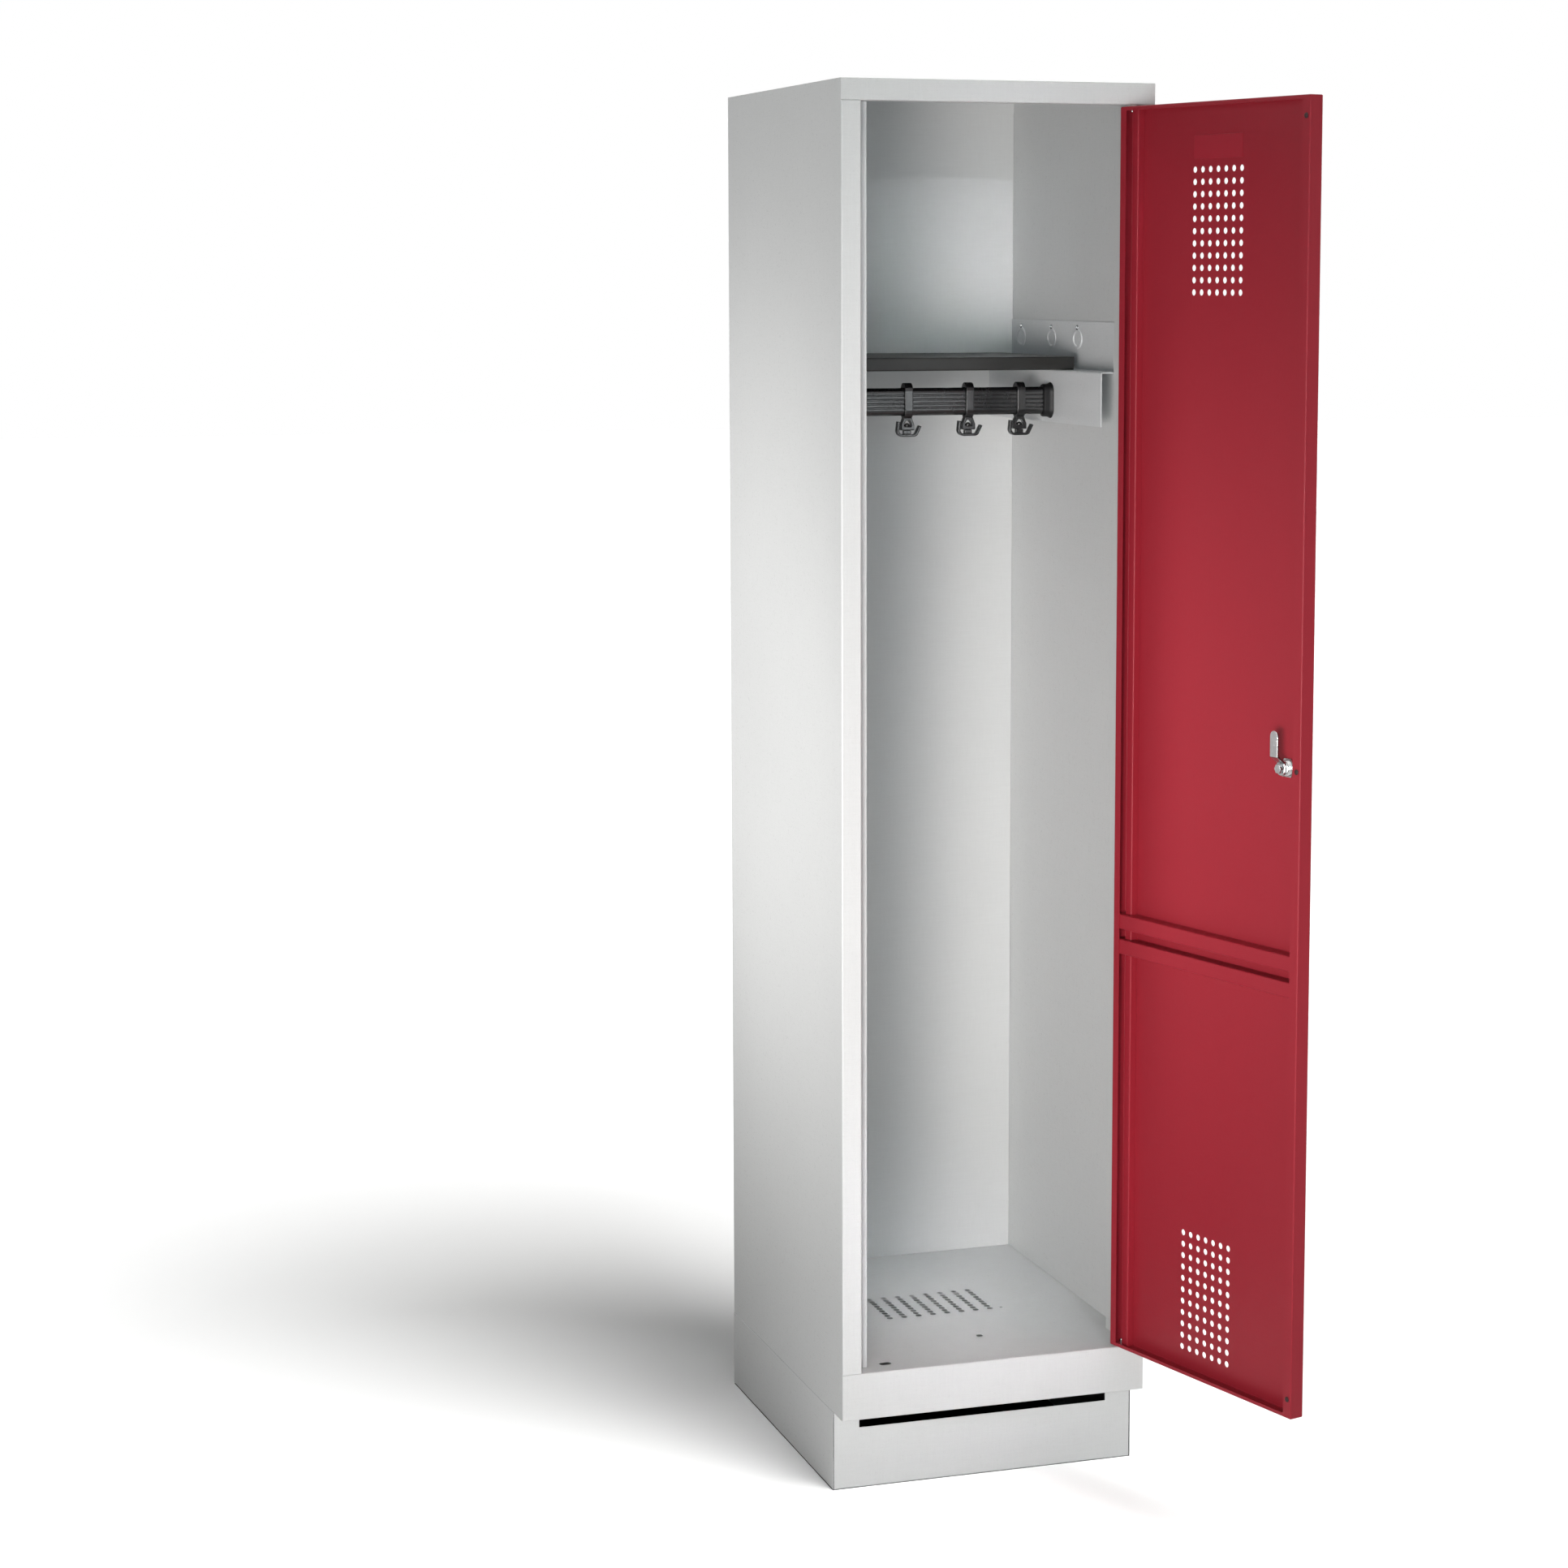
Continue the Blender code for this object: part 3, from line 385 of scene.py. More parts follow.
FINISHES = {
    Slot.CABINET: PowderCoat("cabinet_light_grey", (0.604, 0.622, 0.621), 0.30),
    Slot.DOOR: PowderCoat("door_ruby_red", (0.290, 0.0175, 0.029), 0.38, gloss=0.2, cloud=0.08),
    Slot.SHELF: PowderCoat("shelf_anthracite", (0.020, 0.020, 0.019), 0.34, gloss=0.3),
    Slot.PLASTIC: MouldedPlastic("black_moulding", (0.006, 0.006, 0.0065), 0.25, gloss=0.7),
    Slot.ZINC: PlatedMetal("bright_zinc", (0.64, 0.65, 0.66), 0.25, 0.12),
    Slot.CHROME: PlatedMetal("satin_chrome", (0.68, 0.68, 0.68), 0.18, 0.10),
    Slot.WASHER: MouldedPlastic("white_nylon", (0.72, 0.71, 0.68), 0.42),
    Slot.RUBBER: MouldedPlastic("dark_rubber", (0.030, 0.010, 0.011), 0.55, gloss=0.35),
}
LABEL_RED = (0.335, 0.020, 0.034)
# A paler copy of the cabinet grey, painted light on the brackets.
BRACKET_PAINTED_LIGHT_GREY = (0.690, 0.715, 0.725)
# Near black painted on the plinth's inner faces as painted shade.
PAINTED_SHADE_DARK = (0.020, 0.021, 0.022)


class Wardrobe:
    """Keeps one material for each slot and puts it on pieces."""

    def __init__(self) -> None:
        """Builds every finish once, with the paler label paint, a paler bracket grey as painted light, and
        the duller plastic of some pieces.
        """
        self.materials = {slot: finish.material() for slot, finish in FINISHES.items()}
        self.label = replace(FINISHES[Slot.DOOR], name="label_red", colour=LABEL_RED).material()
        # Painted light: the brackets get a paler copy of the cabinet paint.
        self.bracket = replace(FINISHES[Slot.CABINET], name="bracket_grey", colour=BRACKET_PAINTED_LIGHT_GREY).material()
        self.cap = replace(FINISHES[Slot.PLASTIC], name="cap_moulding", roughness=0.5, gloss=0.3).material()

    def dress(
        self, piece: Piece, slot: Slot, body: str, *nodes: str, finish: Material | None = None
    ) -> None:
        """Gives a new piece its finish and its body, and hides the CAD nodes that it stands for.

        Args:
            piece: The piece, in its place.
            slot: The material slot of its finish.
            body: The body that it rides on.
            nodes: The CAD nodes that it replaces.
            finish: Its material, where that isn't the slot's own.
        """
        piece.data.materials.clear()
        piece.data.materials.append(finish or self.materials[slot])
        smooth_bends(piece)
        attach(piece, body)
        if nodes:
            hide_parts(*nodes)
        LOG.info("%s: %d faces on %s", piece.name, len(piece.data.polygons), body)

    def paint_node(self, node: str, slot: Slot) -> None:
        """Gives a CAD node that keeps its shape its finish.

        Args:
            node: The node's name.
            slot: The material slot of its finish.
        """
        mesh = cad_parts[node].data
        mesh.materials.clear()
        mesh.materials.append(self.materials[slot])
        LOG.info("%s: the node itself", node)


def link(name: str, mesh: bpy.types.Mesh) -> Piece:
    """Puts a mesh into the scene as an object.

    Args:
        name: The object's name.
        mesh: Its mesh.

    Returns:
        The object.
    """
    piece = bpy.data.objects.new(name, mesh)
    bpy.context.scene.collection.objects.link(piece)
    return piece


def closed_form(name: str, form: bmesh.types.BMesh) -> Piece:
    """Merges a form's doubles, turns its faces outwards and makes it an object.

    Args:
        name: The piece's name.
        form: The form, which is used up.

    Returns:
        The piece.
    """
    bmesh.ops.remove_doubles(form, verts=form.verts, dist=MERGE)
    bmesh.ops.recalc_face_normals(form, faces=form.faces)
    mesh = bpy.data.meshes.new(name)
    form.to_mesh(mesh)
    form.free()
    return link(name, mesh)


def settle(piece: Piece) -> Piece:
    """Makes a piece's modifiers part of its mesh.

    Args:
        piece: The piece, which keeps its name.

    Returns:
        The same piece, with a plain mesh.
    """
    depsgraph = bpy.context.evaluated_depsgraph_get()
    mesh = bpy.data.meshes.new_from_object(piece.evaluated_get(depsgraph))
    piece.modifiers.clear()
    old = piece.data
    piece.data = mesh
    bpy.data.meshes.remove(old)
    return piece


def smooth_bends(piece: Piece) -> None:
    """Shades bends smoothly and keeps the flat faces beside them flat.

    Args:
        piece: The piece, which is changed.
    """
    piece.data.shade_smooth()
    piece.data.set_sharp_from_angle(angle=math.radians(SMOOTH_DEGREES))
    weighted = piece.modifiers.new("flat_faces", "WEIGHTED_NORMAL")
    weighted.mode = "FACE_AREA"
    weighted.weight = 90
    weighted.keep_sharp = True
    settle(piece)


def cut(piece: Piece, *tools: Piece, operation: str = "DIFFERENCE") -> Piece:
    """Cuts tools out of a piece, or joins them to it.

    Args:
        piece: The piece that is changed.
        tools: The other solids, which are used up.
        operation: What the Boolean does.

    Returns:
        The changed piece.
    """
    for tool in tools:
        change = piece.modifiers.new(tool.name, "BOOLEAN")
        change.object = tool
        change.operation = operation
        change.solver = "EXACT"
    settle(piece)
    for tool in tools:
        bpy.data.meshes.remove(tool.data)
    return piece


def loft(name: str, rings: list[list[Vector]], closed: bool = False) -> Piece:
    """Joins rings of points into a solid.

    Args:
        name: The piece's name.
        rings: Rings with the same number of points.
        closed: Whether the last ring joins the first, as in a washer.

    Returns:
        The solid.
    """
    form = bmesh.new()
    rows = [[form.verts.new(spot) for spot in ring] for ring in rings]
    pairs = list(zip(rows, rows[1:]))
    if closed:
        pairs.append((rows[-1], rows[0]))
    else:
        form.faces.new(rows[0])
        form.faces.new(rows[-1])
    for first, second in pairs:
        for index, spot in enumerate(first):
            following = (index + 1) % len(first)
            form.faces.new((spot, first[following], second[following], second[index]))
    return closed_form(name, form)


def drawn(name: str, outline: list[Point], along: Along, low: float, high: float) -> Piece:
    """Draws an outline out along an axis into a solid."""
    return loft(name, [[along.place(point, level) for point in outline] for level in (low, high)])


def turned(
    name: str, profile: Sequence[Point], along: Along, sides: int = 40, closed: bool = False
) -> Piece:
    """Turns a profile around an axis.

    Args:
        name: The piece's name.
        profile: Points as radius and place along the axis.
        along: The axis.
        sides: How many sides the turned form has.
        closed: Whether the profile is a closed ring.

    Returns:
        The turned solid.
    """
    turns = [math.tau * step / sides for step in range(sides)]
    rings = []
    for radius, level in profile:
        rings.append([along.place((radius * math.cos(t), radius * math.sin(t)), level) for t in turns])
    return loft(name, rings, closed)


def circle(middle: Point, radius: float, sides: int = 24) -> list[Point]:
    """The outline of a round hole."""
    turns = [math.tau * step / sides for step in range(sides)]
    return [(middle[0] + radius * math.cos(t), middle[1] + radius * math.sin(t)) for t in turns]


def stadium(half_width: float, half_height: float) -> list[Point]:
    """Draws an upright outline with half-round ends.

    Args:
        half_width: Half of its width, which is the radius of its ends.
        half_height: Half of its height.

    Returns:
        The outline around its middle.
    """
    flat = half_height - half_width
    turns = [math.pi * step / ROUND_STEPS for step in range(ROUND_STEPS + 1)]
    top = [(half_width * math.cos(t), flat + half_width * math.sin(t)) for t in turns]
    return top + [(-a, -b) for a, b in top]


def bent(path: list[Point], sheet: float, radius: float) -> list[tuple[Point, Point]]:
    """Rounds the bends of a folded sheet.

    Args:
        path: One face of the sheet, which lies on the path's right-hand side.
        sheet: The sheet's thickness.
        radius: The outer radius of its bends.

    Returns:
        Pairs of points on the two faces.
    """
    points = [Vector(point) for point in path]
    ways = [(second - first).normalized() for first, second in zip(points, points[1:])]
    rights = [Vector((way.y, -way.x)) for way in ways]
    pairs = [(points[0], points[0] + rights[0] * sheet)]
    for point, way, right, after in zip(points[1:], ways, rights, rights[1:]):
        turn = math.atan2(right.x * after.y - right.y * after.x, right.dot(after))
        hand = 1.0 if turn < 0.0 else -1.0
        reach = radius if turn < 0.0 else radius - sheet
        middle = point - way * (reach * math.tan(abs(turn) / 2)) + right * (hand * reach)
        for step in range(BEND_STEPS + 1):
            out = Matrix.Rotation(turn * step / BEND_STEPS, 2) @ right
            face = middle - out * (hand * reach)
            pairs.append((face, face + out * sheet))
    pairs.append((points[-1], points[-1] + rights[-1] * sheet))
    return [(tuple(first), tuple(second)) for first, second in pairs]


def folded(
    name: str, path: list[Point], sheet: float, along: Along, span: Point, radius: float = SHEET_BEND
) -> Piece:
    """Makes a folded sheet with rounded bends.

    Args:
        name: The piece's name.
        path: One face of its section, with the sheet on the right-hand side.
        sheet: The sheet's thickness.
        along: The axis of the bends.
        span: Where the sheet begins and ends along that axis.
        radius: The outer radius of its bends.

    Returns:
        The folded sheet.
    """
    form = bmesh.new()
    rows = []
    for first, second in bent(path, sheet, radius):
        spots = [along.place(point, level) for level in span for point in (first, second)]
        rows.append([form.verts.new(spot) for spot in spots])
    for row in (rows[0], rows[-1]):
        form.faces.new((row[0], row[1], row[3], row[2]))
    for row, after in zip(rows, rows[1:]):
        for a, b in ((0, 1), (1, 3), (3, 2), (2, 0)):
            form.faces.new((row[a], row[b], after[b], after[a]))
    return closed_form(name, form)


def block(name: str, low: Place, high: Place, radius: float = 0.0, steps: int = 4) -> Piece:
    """Makes a block between two corners.

    Args:
        name: The piece's name.
        low: Its lowest corner.
        high: Its highest corner.
        radius: The radius of its edges, or zero for sharp ones.
        steps: How many steps round an edge.

    Returns:
        The block.
    """
    form = bmesh.new()
    size = Vector(high) - Vector(low)
    middle = (Vector(high) + Vector(low)) / 2
    place = Matrix.Translation(middle) @ Matrix.Diagonal((*size, 1.0))
    bmesh.ops.create_cube(form, size=1.0, matrix=place)
    if radius:
        edges = form.edges[:]
        bmesh.ops.bevel(form, geom=edges, offset=radius, segments=steps, profile=0.5, affect="EDGES")
    return closed_form(name, form)


def node_copy(name: str, node: str) -> Piece:
    """Copies a CAD node with its points merged and its flat faces whole.

    Args:
        name: The piece's name.
        node: The node's name.

    Returns:
        The copy.
    """
    form = bmesh.new()
    form.from_mesh(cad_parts[node].data)
    bmesh.ops.remove_doubles(form, verts=form.verts, dist=NODE_MERGE)
    limit = math.radians(FLAT_DEGREES)
    bmesh.ops.dissolve_limit(form, angle_limit=limit, verts=form.verts, edges=form.edges)
    return closed_form(name, form)


def softened(name: str, node: str, radius: float) -> Piece:
    """Copies a CAD node and rounds its edges.

    Args:
        name: The piece's name.
        node: The node's name.
        radius: The radius of the edges.

    Returns:
        The rounded copy.
    """
    piece = node_copy(name, node)
    bevel = piece.modifiers.new("rounded_edges", "BEVEL")
    bevel.width = radius
    bevel.segments = EDGE_STEPS
    bevel.limit_method = "ANGLE"
    bevel.angle_limit = math.radians(SMOOTH_DEGREES)
    return settle(piece)


def moulded(name: str, node: str, voxel: float, passes: int) -> Piece:
    """Copies a CAD node and gives it the soft edges and fillets of a moulding.

    Args:
        name: The piece's name.
        node: The node's name.
        voxel: The grain of its new skin in metres.
        passes: How often the skin is smoothed.

    Returns:
        The moulding.
    """
    piece = node_copy(name, node)
    skin = piece.modifiers.new("skin", "REMESH")
    skin.mode = "VOXEL"
    skin.voxel_size = voxel
    soft = piece.modifiers.new("soft", "SMOOTH")
    soft.factor = 0.5
    soft.iterations = passes
    return settle(piece)


class GeometryTree(Graph):
    """A Geometry Nodes tree with named inputs, which ends in Realize Instances and Set Material."""

    def __init__(self, name: str, inputs: dict[str, str]) -> None:
        """Starts the tree.

        Args:
            name: The tree's name.
            inputs: The socket type of each named input.
        """
        super().__init__(bpy.data.node_groups.new(name, "GeometryNodeTree"))
        face = self.tree.interface
        face.new_socket("Geometry", in_out="INPUT", socket_type="NodeSocketGeometry")
        for word, kind in {**inputs, "Finish": "NodeSocketMaterial"}.items():
            face.new_socket(word, in_out="INPUT", socket_type=kind)
        face.new_socket("Geometry", in_out="OUTPUT", socket_type="NodeSocketGeometry")
        self.ask = self.node("NodeGroupInput")

    def given(self, word: str) -> Socket:
        """The socket of a named input."""
        return Socket(self, self.ask.socket.node.outputs[word])

    def close(self, shape: Socket) -> None:
        """Ends the tree with a real mesh in its finish.

        Args:
            shape: The geometry that is made real.
        """
        real = self.node("GeometryNodeRealizeInstances", None, {"Geometry": shape})
        sockets = {"Geometry": real, "Material": self.given("Finish")}
        done = self.node("GeometryNodeSetMaterial", None, sockets)
        self.node("NodeGroupOutput", None, {"Geometry": done})

    def apply(self, piece: Piece, values: dict[str, Any]) -> Piece:
        """Runs the tree on a piece and keeps the result as its mesh.

        Args:
            piece: The piece that the tree works on.
            values: Values of the named inputs.

        Returns:
            The same piece.
        """
        change = piece.modifiers.new(self.tree.name, "NODES")
        change.node_group = self.tree
        for item in self.tree.interface.items_tree:
            if item.in_out == "INPUT" and item.name in values:
                change[item.identifier] = values[item.name]
        return settle(piece)


@dataclass(frozen=True)
class HoleField:
    """A rectangular field of round holes."""

    columns: int
    rows: int
    pitch: Point
    radius: float
    sides: int

    @property
    def half(self) -> Point:
        """Half of its width and height, between the middles of the outer holes."""
        return ((self.columns - 1) / 2 * self.pitch[0], (self.rows - 1) / 2 * self.pitch[1])


class Perforation(GeometryTree):
    """Punches a rectangular field of round holes through a sheet."""

    def __init__(self) -> None:
        """Builds the tree: a grid of punches that is cut out of the sheet."""
        inputs = {
            "Columns": "NodeSocketInt",
            "Rows": "NodeSocketInt",
            "Column Pitch": "NodeSocketFloat",
            "Row Pitch": "NodeSocketFloat",
            "Radius": "NodeSocketFloat",
            "Sides": "NodeSocketInt",
            "Depth": "NodeSocketFloat",
            "Middle": "NodeSocketVector",
            "Turn": "NodeSocketVector",
        }
        super().__init__("perforation", inputs)
        columns, rows = self.given("Columns"), self.given("Rows")
        field = {
            "Size X": self.given("Column Pitch") * (columns - 1.0),
            "Size Y": self.given("Row Pitch") * (rows - 1.0),
            "Vertices X": columns,
            "Vertices Y": rows,
        }
        spots = self.node("GeometryNodeMeshGrid", None, field, "Mesh")
        size = {
            "Vertices": self.given("Sides"),
            "Radius": self.given("Radius"),
            "Depth": self.given("Depth"),
        }
        punch = self.node("GeometryNodeMeshCylinder", None, size, "Mesh")
        punches = self.node("GeometryNodeInstanceOnPoints", None, {"Points": spots, "Instance": punch})
        way = {"Geometry": punches, "Translation": self.given("Middle"), "Rotation": self.given("Turn")}
        placed = self.node("GeometryNodeTransform", None, way)
        real = self.node("GeometryNodeRealizeInstances", None, {"Geometry": placed})
        settings = {"operation": "DIFFERENCE", "solver": "EXACT"}
        sheet = self.given("Geometry")
        self.close(self.node("GeometryNodeMeshBoolean", settings, {"Mesh 1": sheet, "Mesh 2": real}))

    def punch(self, sheet: Piece, holes: HoleField, middle: Place, turn: Place, finish: Material) -> None:
        """Punches one field of holes.

        Args:
            sheet: The sheet, which is changed.
            holes: The field.
            middle: Where the field's middle lies.
            turn: The field's turn in radians.
            finish: The sheet's material.
        """
        values = {
            "Columns": holes.columns,
            "Rows": holes.rows,
            "Column Pitch": holes.pitch[0],
            "Row Pitch": holes.pitch[1],
            "Radius": holes.radius,
            "Sides": holes.sides,
            "Depth": 2 * CUT_OVER,
            "Middle": middle,
            "Turn": turn,
            "Finish": finish,
        }
        self.apply(sheet, values)


class Row(GeometryTree):
    """Sets a copy of one small piece on each of a set of points."""

    def __init__(self) -> None:
        """Builds the tree: one instance on each point of the input mesh."""
        super().__init__("row", {"Item": "NodeSocketObject", "Turn": "NodeSocketVector"})
        sockets = {"Object": self.given("Item"), "As Instance": True}
        item = self.node("GeometryNodeObjectInfo", None, sockets, "Geometry")
        way = {"Points": self.given("Geometry"), "Instance": item, "Rotation": self.given("Turn")}
        self.close(self.node("GeometryNodeInstanceOnPoints", None, way))

    def set_out(self, name: str, spots: list[Vector], item: Piece, turn: Place, finish: Material) -> Piece:
        """Sets the item on each spot.

        Args:
            name: The new piece's name.
            spots: Where the copies go.
            item: The small piece, around its own origin, which is used up.
            turn: The copies' turn in radians.
            finish: Their material.

        Returns:
            One piece with all the copies.
        """
        mesh = bpy.data.meshes.new(name)
        mesh.from_pydata(spots, [], [])
        piece = self.apply(link(name, mesh), {"Item": item, "Turn": turn, "Finish": finish})
        bpy.data.meshes.remove(item.data)
        return piece


class Trees:
    """The two Geometry Nodes trees, built once."""

    def __init__(self) -> None:
        """Builds the trees."""
        self.perforation = Perforation()
        self.row = Row()


@dataclass
class Cabinet:
    """The folded body: two sides, the top with its band, the floor with its sill, and the back."""

    wardrobe: Wardrobe
    trees: Trees
    sheet: float = 0.001
    upright: float = 0.026
    hinge_upright: float = 0.020
    rebate: float = 0.0225
    stop_lip: float = 0.014
    hinge_return: float = 0.080
    edge_return: float = 0.025
    rear_flange: float = 0.015
    air: HoleField = HoleField(8, 9, (0.0205, 0.011), 0.0042, 16)
    relief: float = 0.0035
    rim: float = 0.0002
    air_set_back: float = 0.213
    small_hole: tuple[float, float, float] = (0.088, 0.213, 0.0020)
    drain_hole: tuple[float, float, float] = (0.0165, 0.103, 0.0045)
    rod_slot: tuple[float, float, float, float] = (-0.140, 0.030, 0.016, 0.010)
    pin_hole: float = 0.0033

    def __post_init__(self) -> None:
        """Reads where the panels lie from the CAD."""
        low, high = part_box("left_side_panel")
        self.half = -low.x
        self.back = high.y
        self.base = low.z
        self.height = high.z
        floor_low, floor_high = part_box("floor_panel")
        self.front = floor_low.y
        self.floor_back = floor_high.y
        self.sill_top = floor_high.z
        self.band_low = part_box("top_panel")[0].z
        self.inner = self.half - self.sheet - FIT
        pin_low, pin_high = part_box("lower_hinge_pin")
        self.pivot = (pin_low + pin_high) / 2

    def side_panel(self, side: Side) -> None:
        """Makes one side panel with its front upright.

        Args:
            side: The side that the panel stands on.
        """
        half, front, back = self.half, self.front, self.back
        if side is Side.LEFT:
            width, deep = self.upright + self.stop_lip, self.rebate + self.sheet
            edge = half - self.upright
            stop = front + self.rebate
            folds = [(edge, front), (edge, stop), (edge - self.stop_lip, stop)]
        else:
            width, deep = self.hinge_upright, self.hinge_return
            edge = half - self.hinge_upright
            folds = [(edge, front), (edge, front + self.hinge_return)]
        path = side.path([(half - self.rear_flange, back), (half, back), (half, front), *folds])
        name = f"{side.word}_side_sheet"
        panel = folded(name, path, self.sheet, Along.Z, (self.base, self.height))
        seam = front + self.sheet + FIT
        inner, rear = half - width - CUT_OVER, front + deep + CUT_OVER
        middle, outer = (half + edge) / 2, half + CUT_OVER
        start = front - CUT_OVER
        before = [(outer, start), (inner, start)]
        behind = [(inner, rear), (middle, rear), (middle, seam), (outer, seam)]
        notch = side.outline(before + behind)
        band = drawn("band_notch", notch, Along.Z, self.band_low - FIT, self.height + CUT_OVER)
        sill = drawn("sill_notch", notch, Along.Z, self.base - CUT_OVER, self.sill_top + FIT)
        cut(panel, band, sill)
        self.wardrobe.dress(panel, Slot.CABINET, "cabinet", f"{side.word}_side_panel")

    def tray(self, name: str, low: float, high: float) -> Piece:
        """Folds the top or the floor with its front and its rear flange.

        Args:
            name: The piece's name.
            low: The lower edge of its front.
            high: The upper face of its sheet.

        Returns:
            The folded sheet, which lies between the sides behind its front face.
        """
        path = [
            (self.front + self.edge_return, low),
            (self.front, low),
            (self.front, high),
            (self.floor_back, high),
            (self.floor_back, high - self.rear_flange),
        ]
        panel = folded(name, path, self.sheet, Along.X, (-self.half, self.half))
        start, stop = self.front + self.sheet + FIT / 3, self.back + CUT_OVER
        outer = self.half + CUT_OVER
        corners = [(self.inner, start), (outer, start), (outer, stop), (self.inner, stop)]
        for side in reversed(Side):
            cut(panel, drawn("side_trim", side.outline(corners), Along.Z, low - CUT_OVER, high + CUT_OVER))
        return panel

    def top(self) -> None:
        """Makes the top with its front band."""
        panel = self.tray("top_sheet", self.band_low, self.height)
        self.bore(panel, (self.pivot.x, self.pivot.y), self.pin_hole, self.band_low)
        self.wardrobe.dress(panel, Slot.CABINET, "cabinet", "top_panel")

    def bore(self, panel: Piece, spot: Point, radius: float, level: float) -> None:
        """Cuts a round hole through a sheet at a level."""
        cut(panel, drawn("bore", circle(spot, radius), Along.Z, level - CUT_OVER, level + CUT_OVER))

    def floor(self) -> None:
        """Makes the floor with its sill, air holes, drain, rod slot and pin hole."""
        panel = self.tray("floor_sheet", self.base, self.sill_top)
        margin = self.air.radius + self.relief
        half_width = self.air.half[0] + margin
        half_depth = self.air.half[1] + margin
        middle = self.front + self.air_set_back + self.air.half[1]
        thin = self.sill_top - self.rim
        low = (-half_width, middle - half_depth, thin - CUT_OVER)
        cut(panel, block("air_relief", low, (half_width, middle + half_depth, thin)))
        spot = (0.0, middle, self.sill_top)
        paint = self.wardrobe.materials[Slot.CABINET]
        self.trees.perforation.punch(panel, self.air, spot, UNTURNED, paint)
        across, set_back, wide, deep = self.rod_slot
        for more, level in ((self.relief, thin - CUT_OVER), (0.0, self.sill_top)):
            for hole_across, hole_back, radius in (self.small_hole, self.drain_hole):
                self.bore(panel, (hole_across, self.front + hole_back), radius + more, level)
            round_ends = stadium(deep / 2 + more, wide / 2 + more)
            outline = [(across + b, self.front + set_back + a) for a, b in round_ends]
            cut(panel, drawn("rod_slot", outline, Along.Z, level - CUT_OVER, level + CUT_OVER))
        self.bore(panel, (self.pivot.x, self.pivot.y), self.pin_hole, self.sill_top)
        self.wardrobe.dress(panel, Slot.CABINET, "cabinet", "floor_panel")

    def build(self) -> None:
        """Makes the whole body."""
        for side in Side:
            self.side_panel(side)
        self.top()
        self.floor()
        self.wardrobe.paint_node("back_panel", Slot.CABINET)


@dataclass
class Plinth:
    """The four folded panels of the base, with the air slot in the front one."""

    wardrobe: Wardrobe
    sheet: float = 0.0012
    flange: float = 0.020
    foot: float = 0.030
    bend: float = 0.0022
    slot_margin: float = 0.036
    slot_low: float = 0.080
    slot_height: float = 0.016

    def __post_init__(self) -> None:
        """Reads where the panels lie from the CAD."""
        low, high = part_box("plinth_front")
        self.front = low.y
        self.top = high.z
        self.span = (low.x, high.x)
        self.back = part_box("plinth_rear")[1].y
        self.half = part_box("plinth_right")[1].x

    def front_panel(self) -> None:
        """Makes the front with its air slot."""
        front, behind = self.front, self.front + self.flange
        path = [(behind, 0.0), (front, 0.0), (front, self.top), (behind, self.top)]
        panel = folded("plinth_front_sheet", path, self.sheet, Along.X, self.span, self.bend)
        reach = self.half - self.slot_margin
        low = (-reach, front - CUT_OVER, self.slot_low)
        high = (reach, front + CUT_OVER, self.slot_low + self.slot_height)
        cut(panel, block("slot", low, high))
        self.wardrobe.dress(panel, Slot.CABINET, "cabinet", "plinth_front")

    def rear_panel(self) -> None:
        """Makes the rear with its deeper foot."""
        back, top = self.back, self.top
        path = [(back - self.flange, top), (back, top), (back, 0.0), (back - self.foot, 0.0)]
        panel = folded("plinth_rear_sheet", path, self.sheet, Along.X, self.span, self.bend)
        self.wardrobe.dress(panel, Slot.CABINET, "cabinet", "plinth_rear")

    def side_panels(self) -> None:
        """Makes the two sides, whose inner faces are painted near black as painted shade."""
        half, top, front, back = self.half, self.top, self.front, self.back
        path = [(half - self.flange, top), (half, top), (half, 0.0), (half - self.flange, 0.0)]
        inside, far = half - self.sheet - FIT / 2, half - self.flange - CUT_OVER
        # Painted shade: a copy of the cabinet paint that is near black on the inner faces.
        coat = replace(FINISHES[Slot.CABINET], name="plinth_sides", primed_within=half - self.sheet / 2)
        shade_painted_inside = coat.material()
        ends = (
            (front - CUT_OVER, front + self.flange + FIT),
            (back - self.foot - FIT, back + CUT_OVER),
        )
        for side in Side:
            node = f"plinth_{side.word}"
            panel = folded(f"{node}_sheet", side.path(path), self.sheet, Along.Y, (front, back), self.bend)
            for start, stop in ends:
                corners = [(inside, start), (far, start), (far, stop), (inside, stop)]
                cut(panel, drawn("notch", side.outline(corners), Along.Z, -CUT_OVER, top + CUT_OVER))
            self.wardrobe.dress(panel, Slot.CABINET, "cabinet", node, finish=shade_painted_inside)

    def build(self) -> None:
        """Makes the four panels."""
        self.front_panel()
        self.rear_panel()
        self.side_panels()


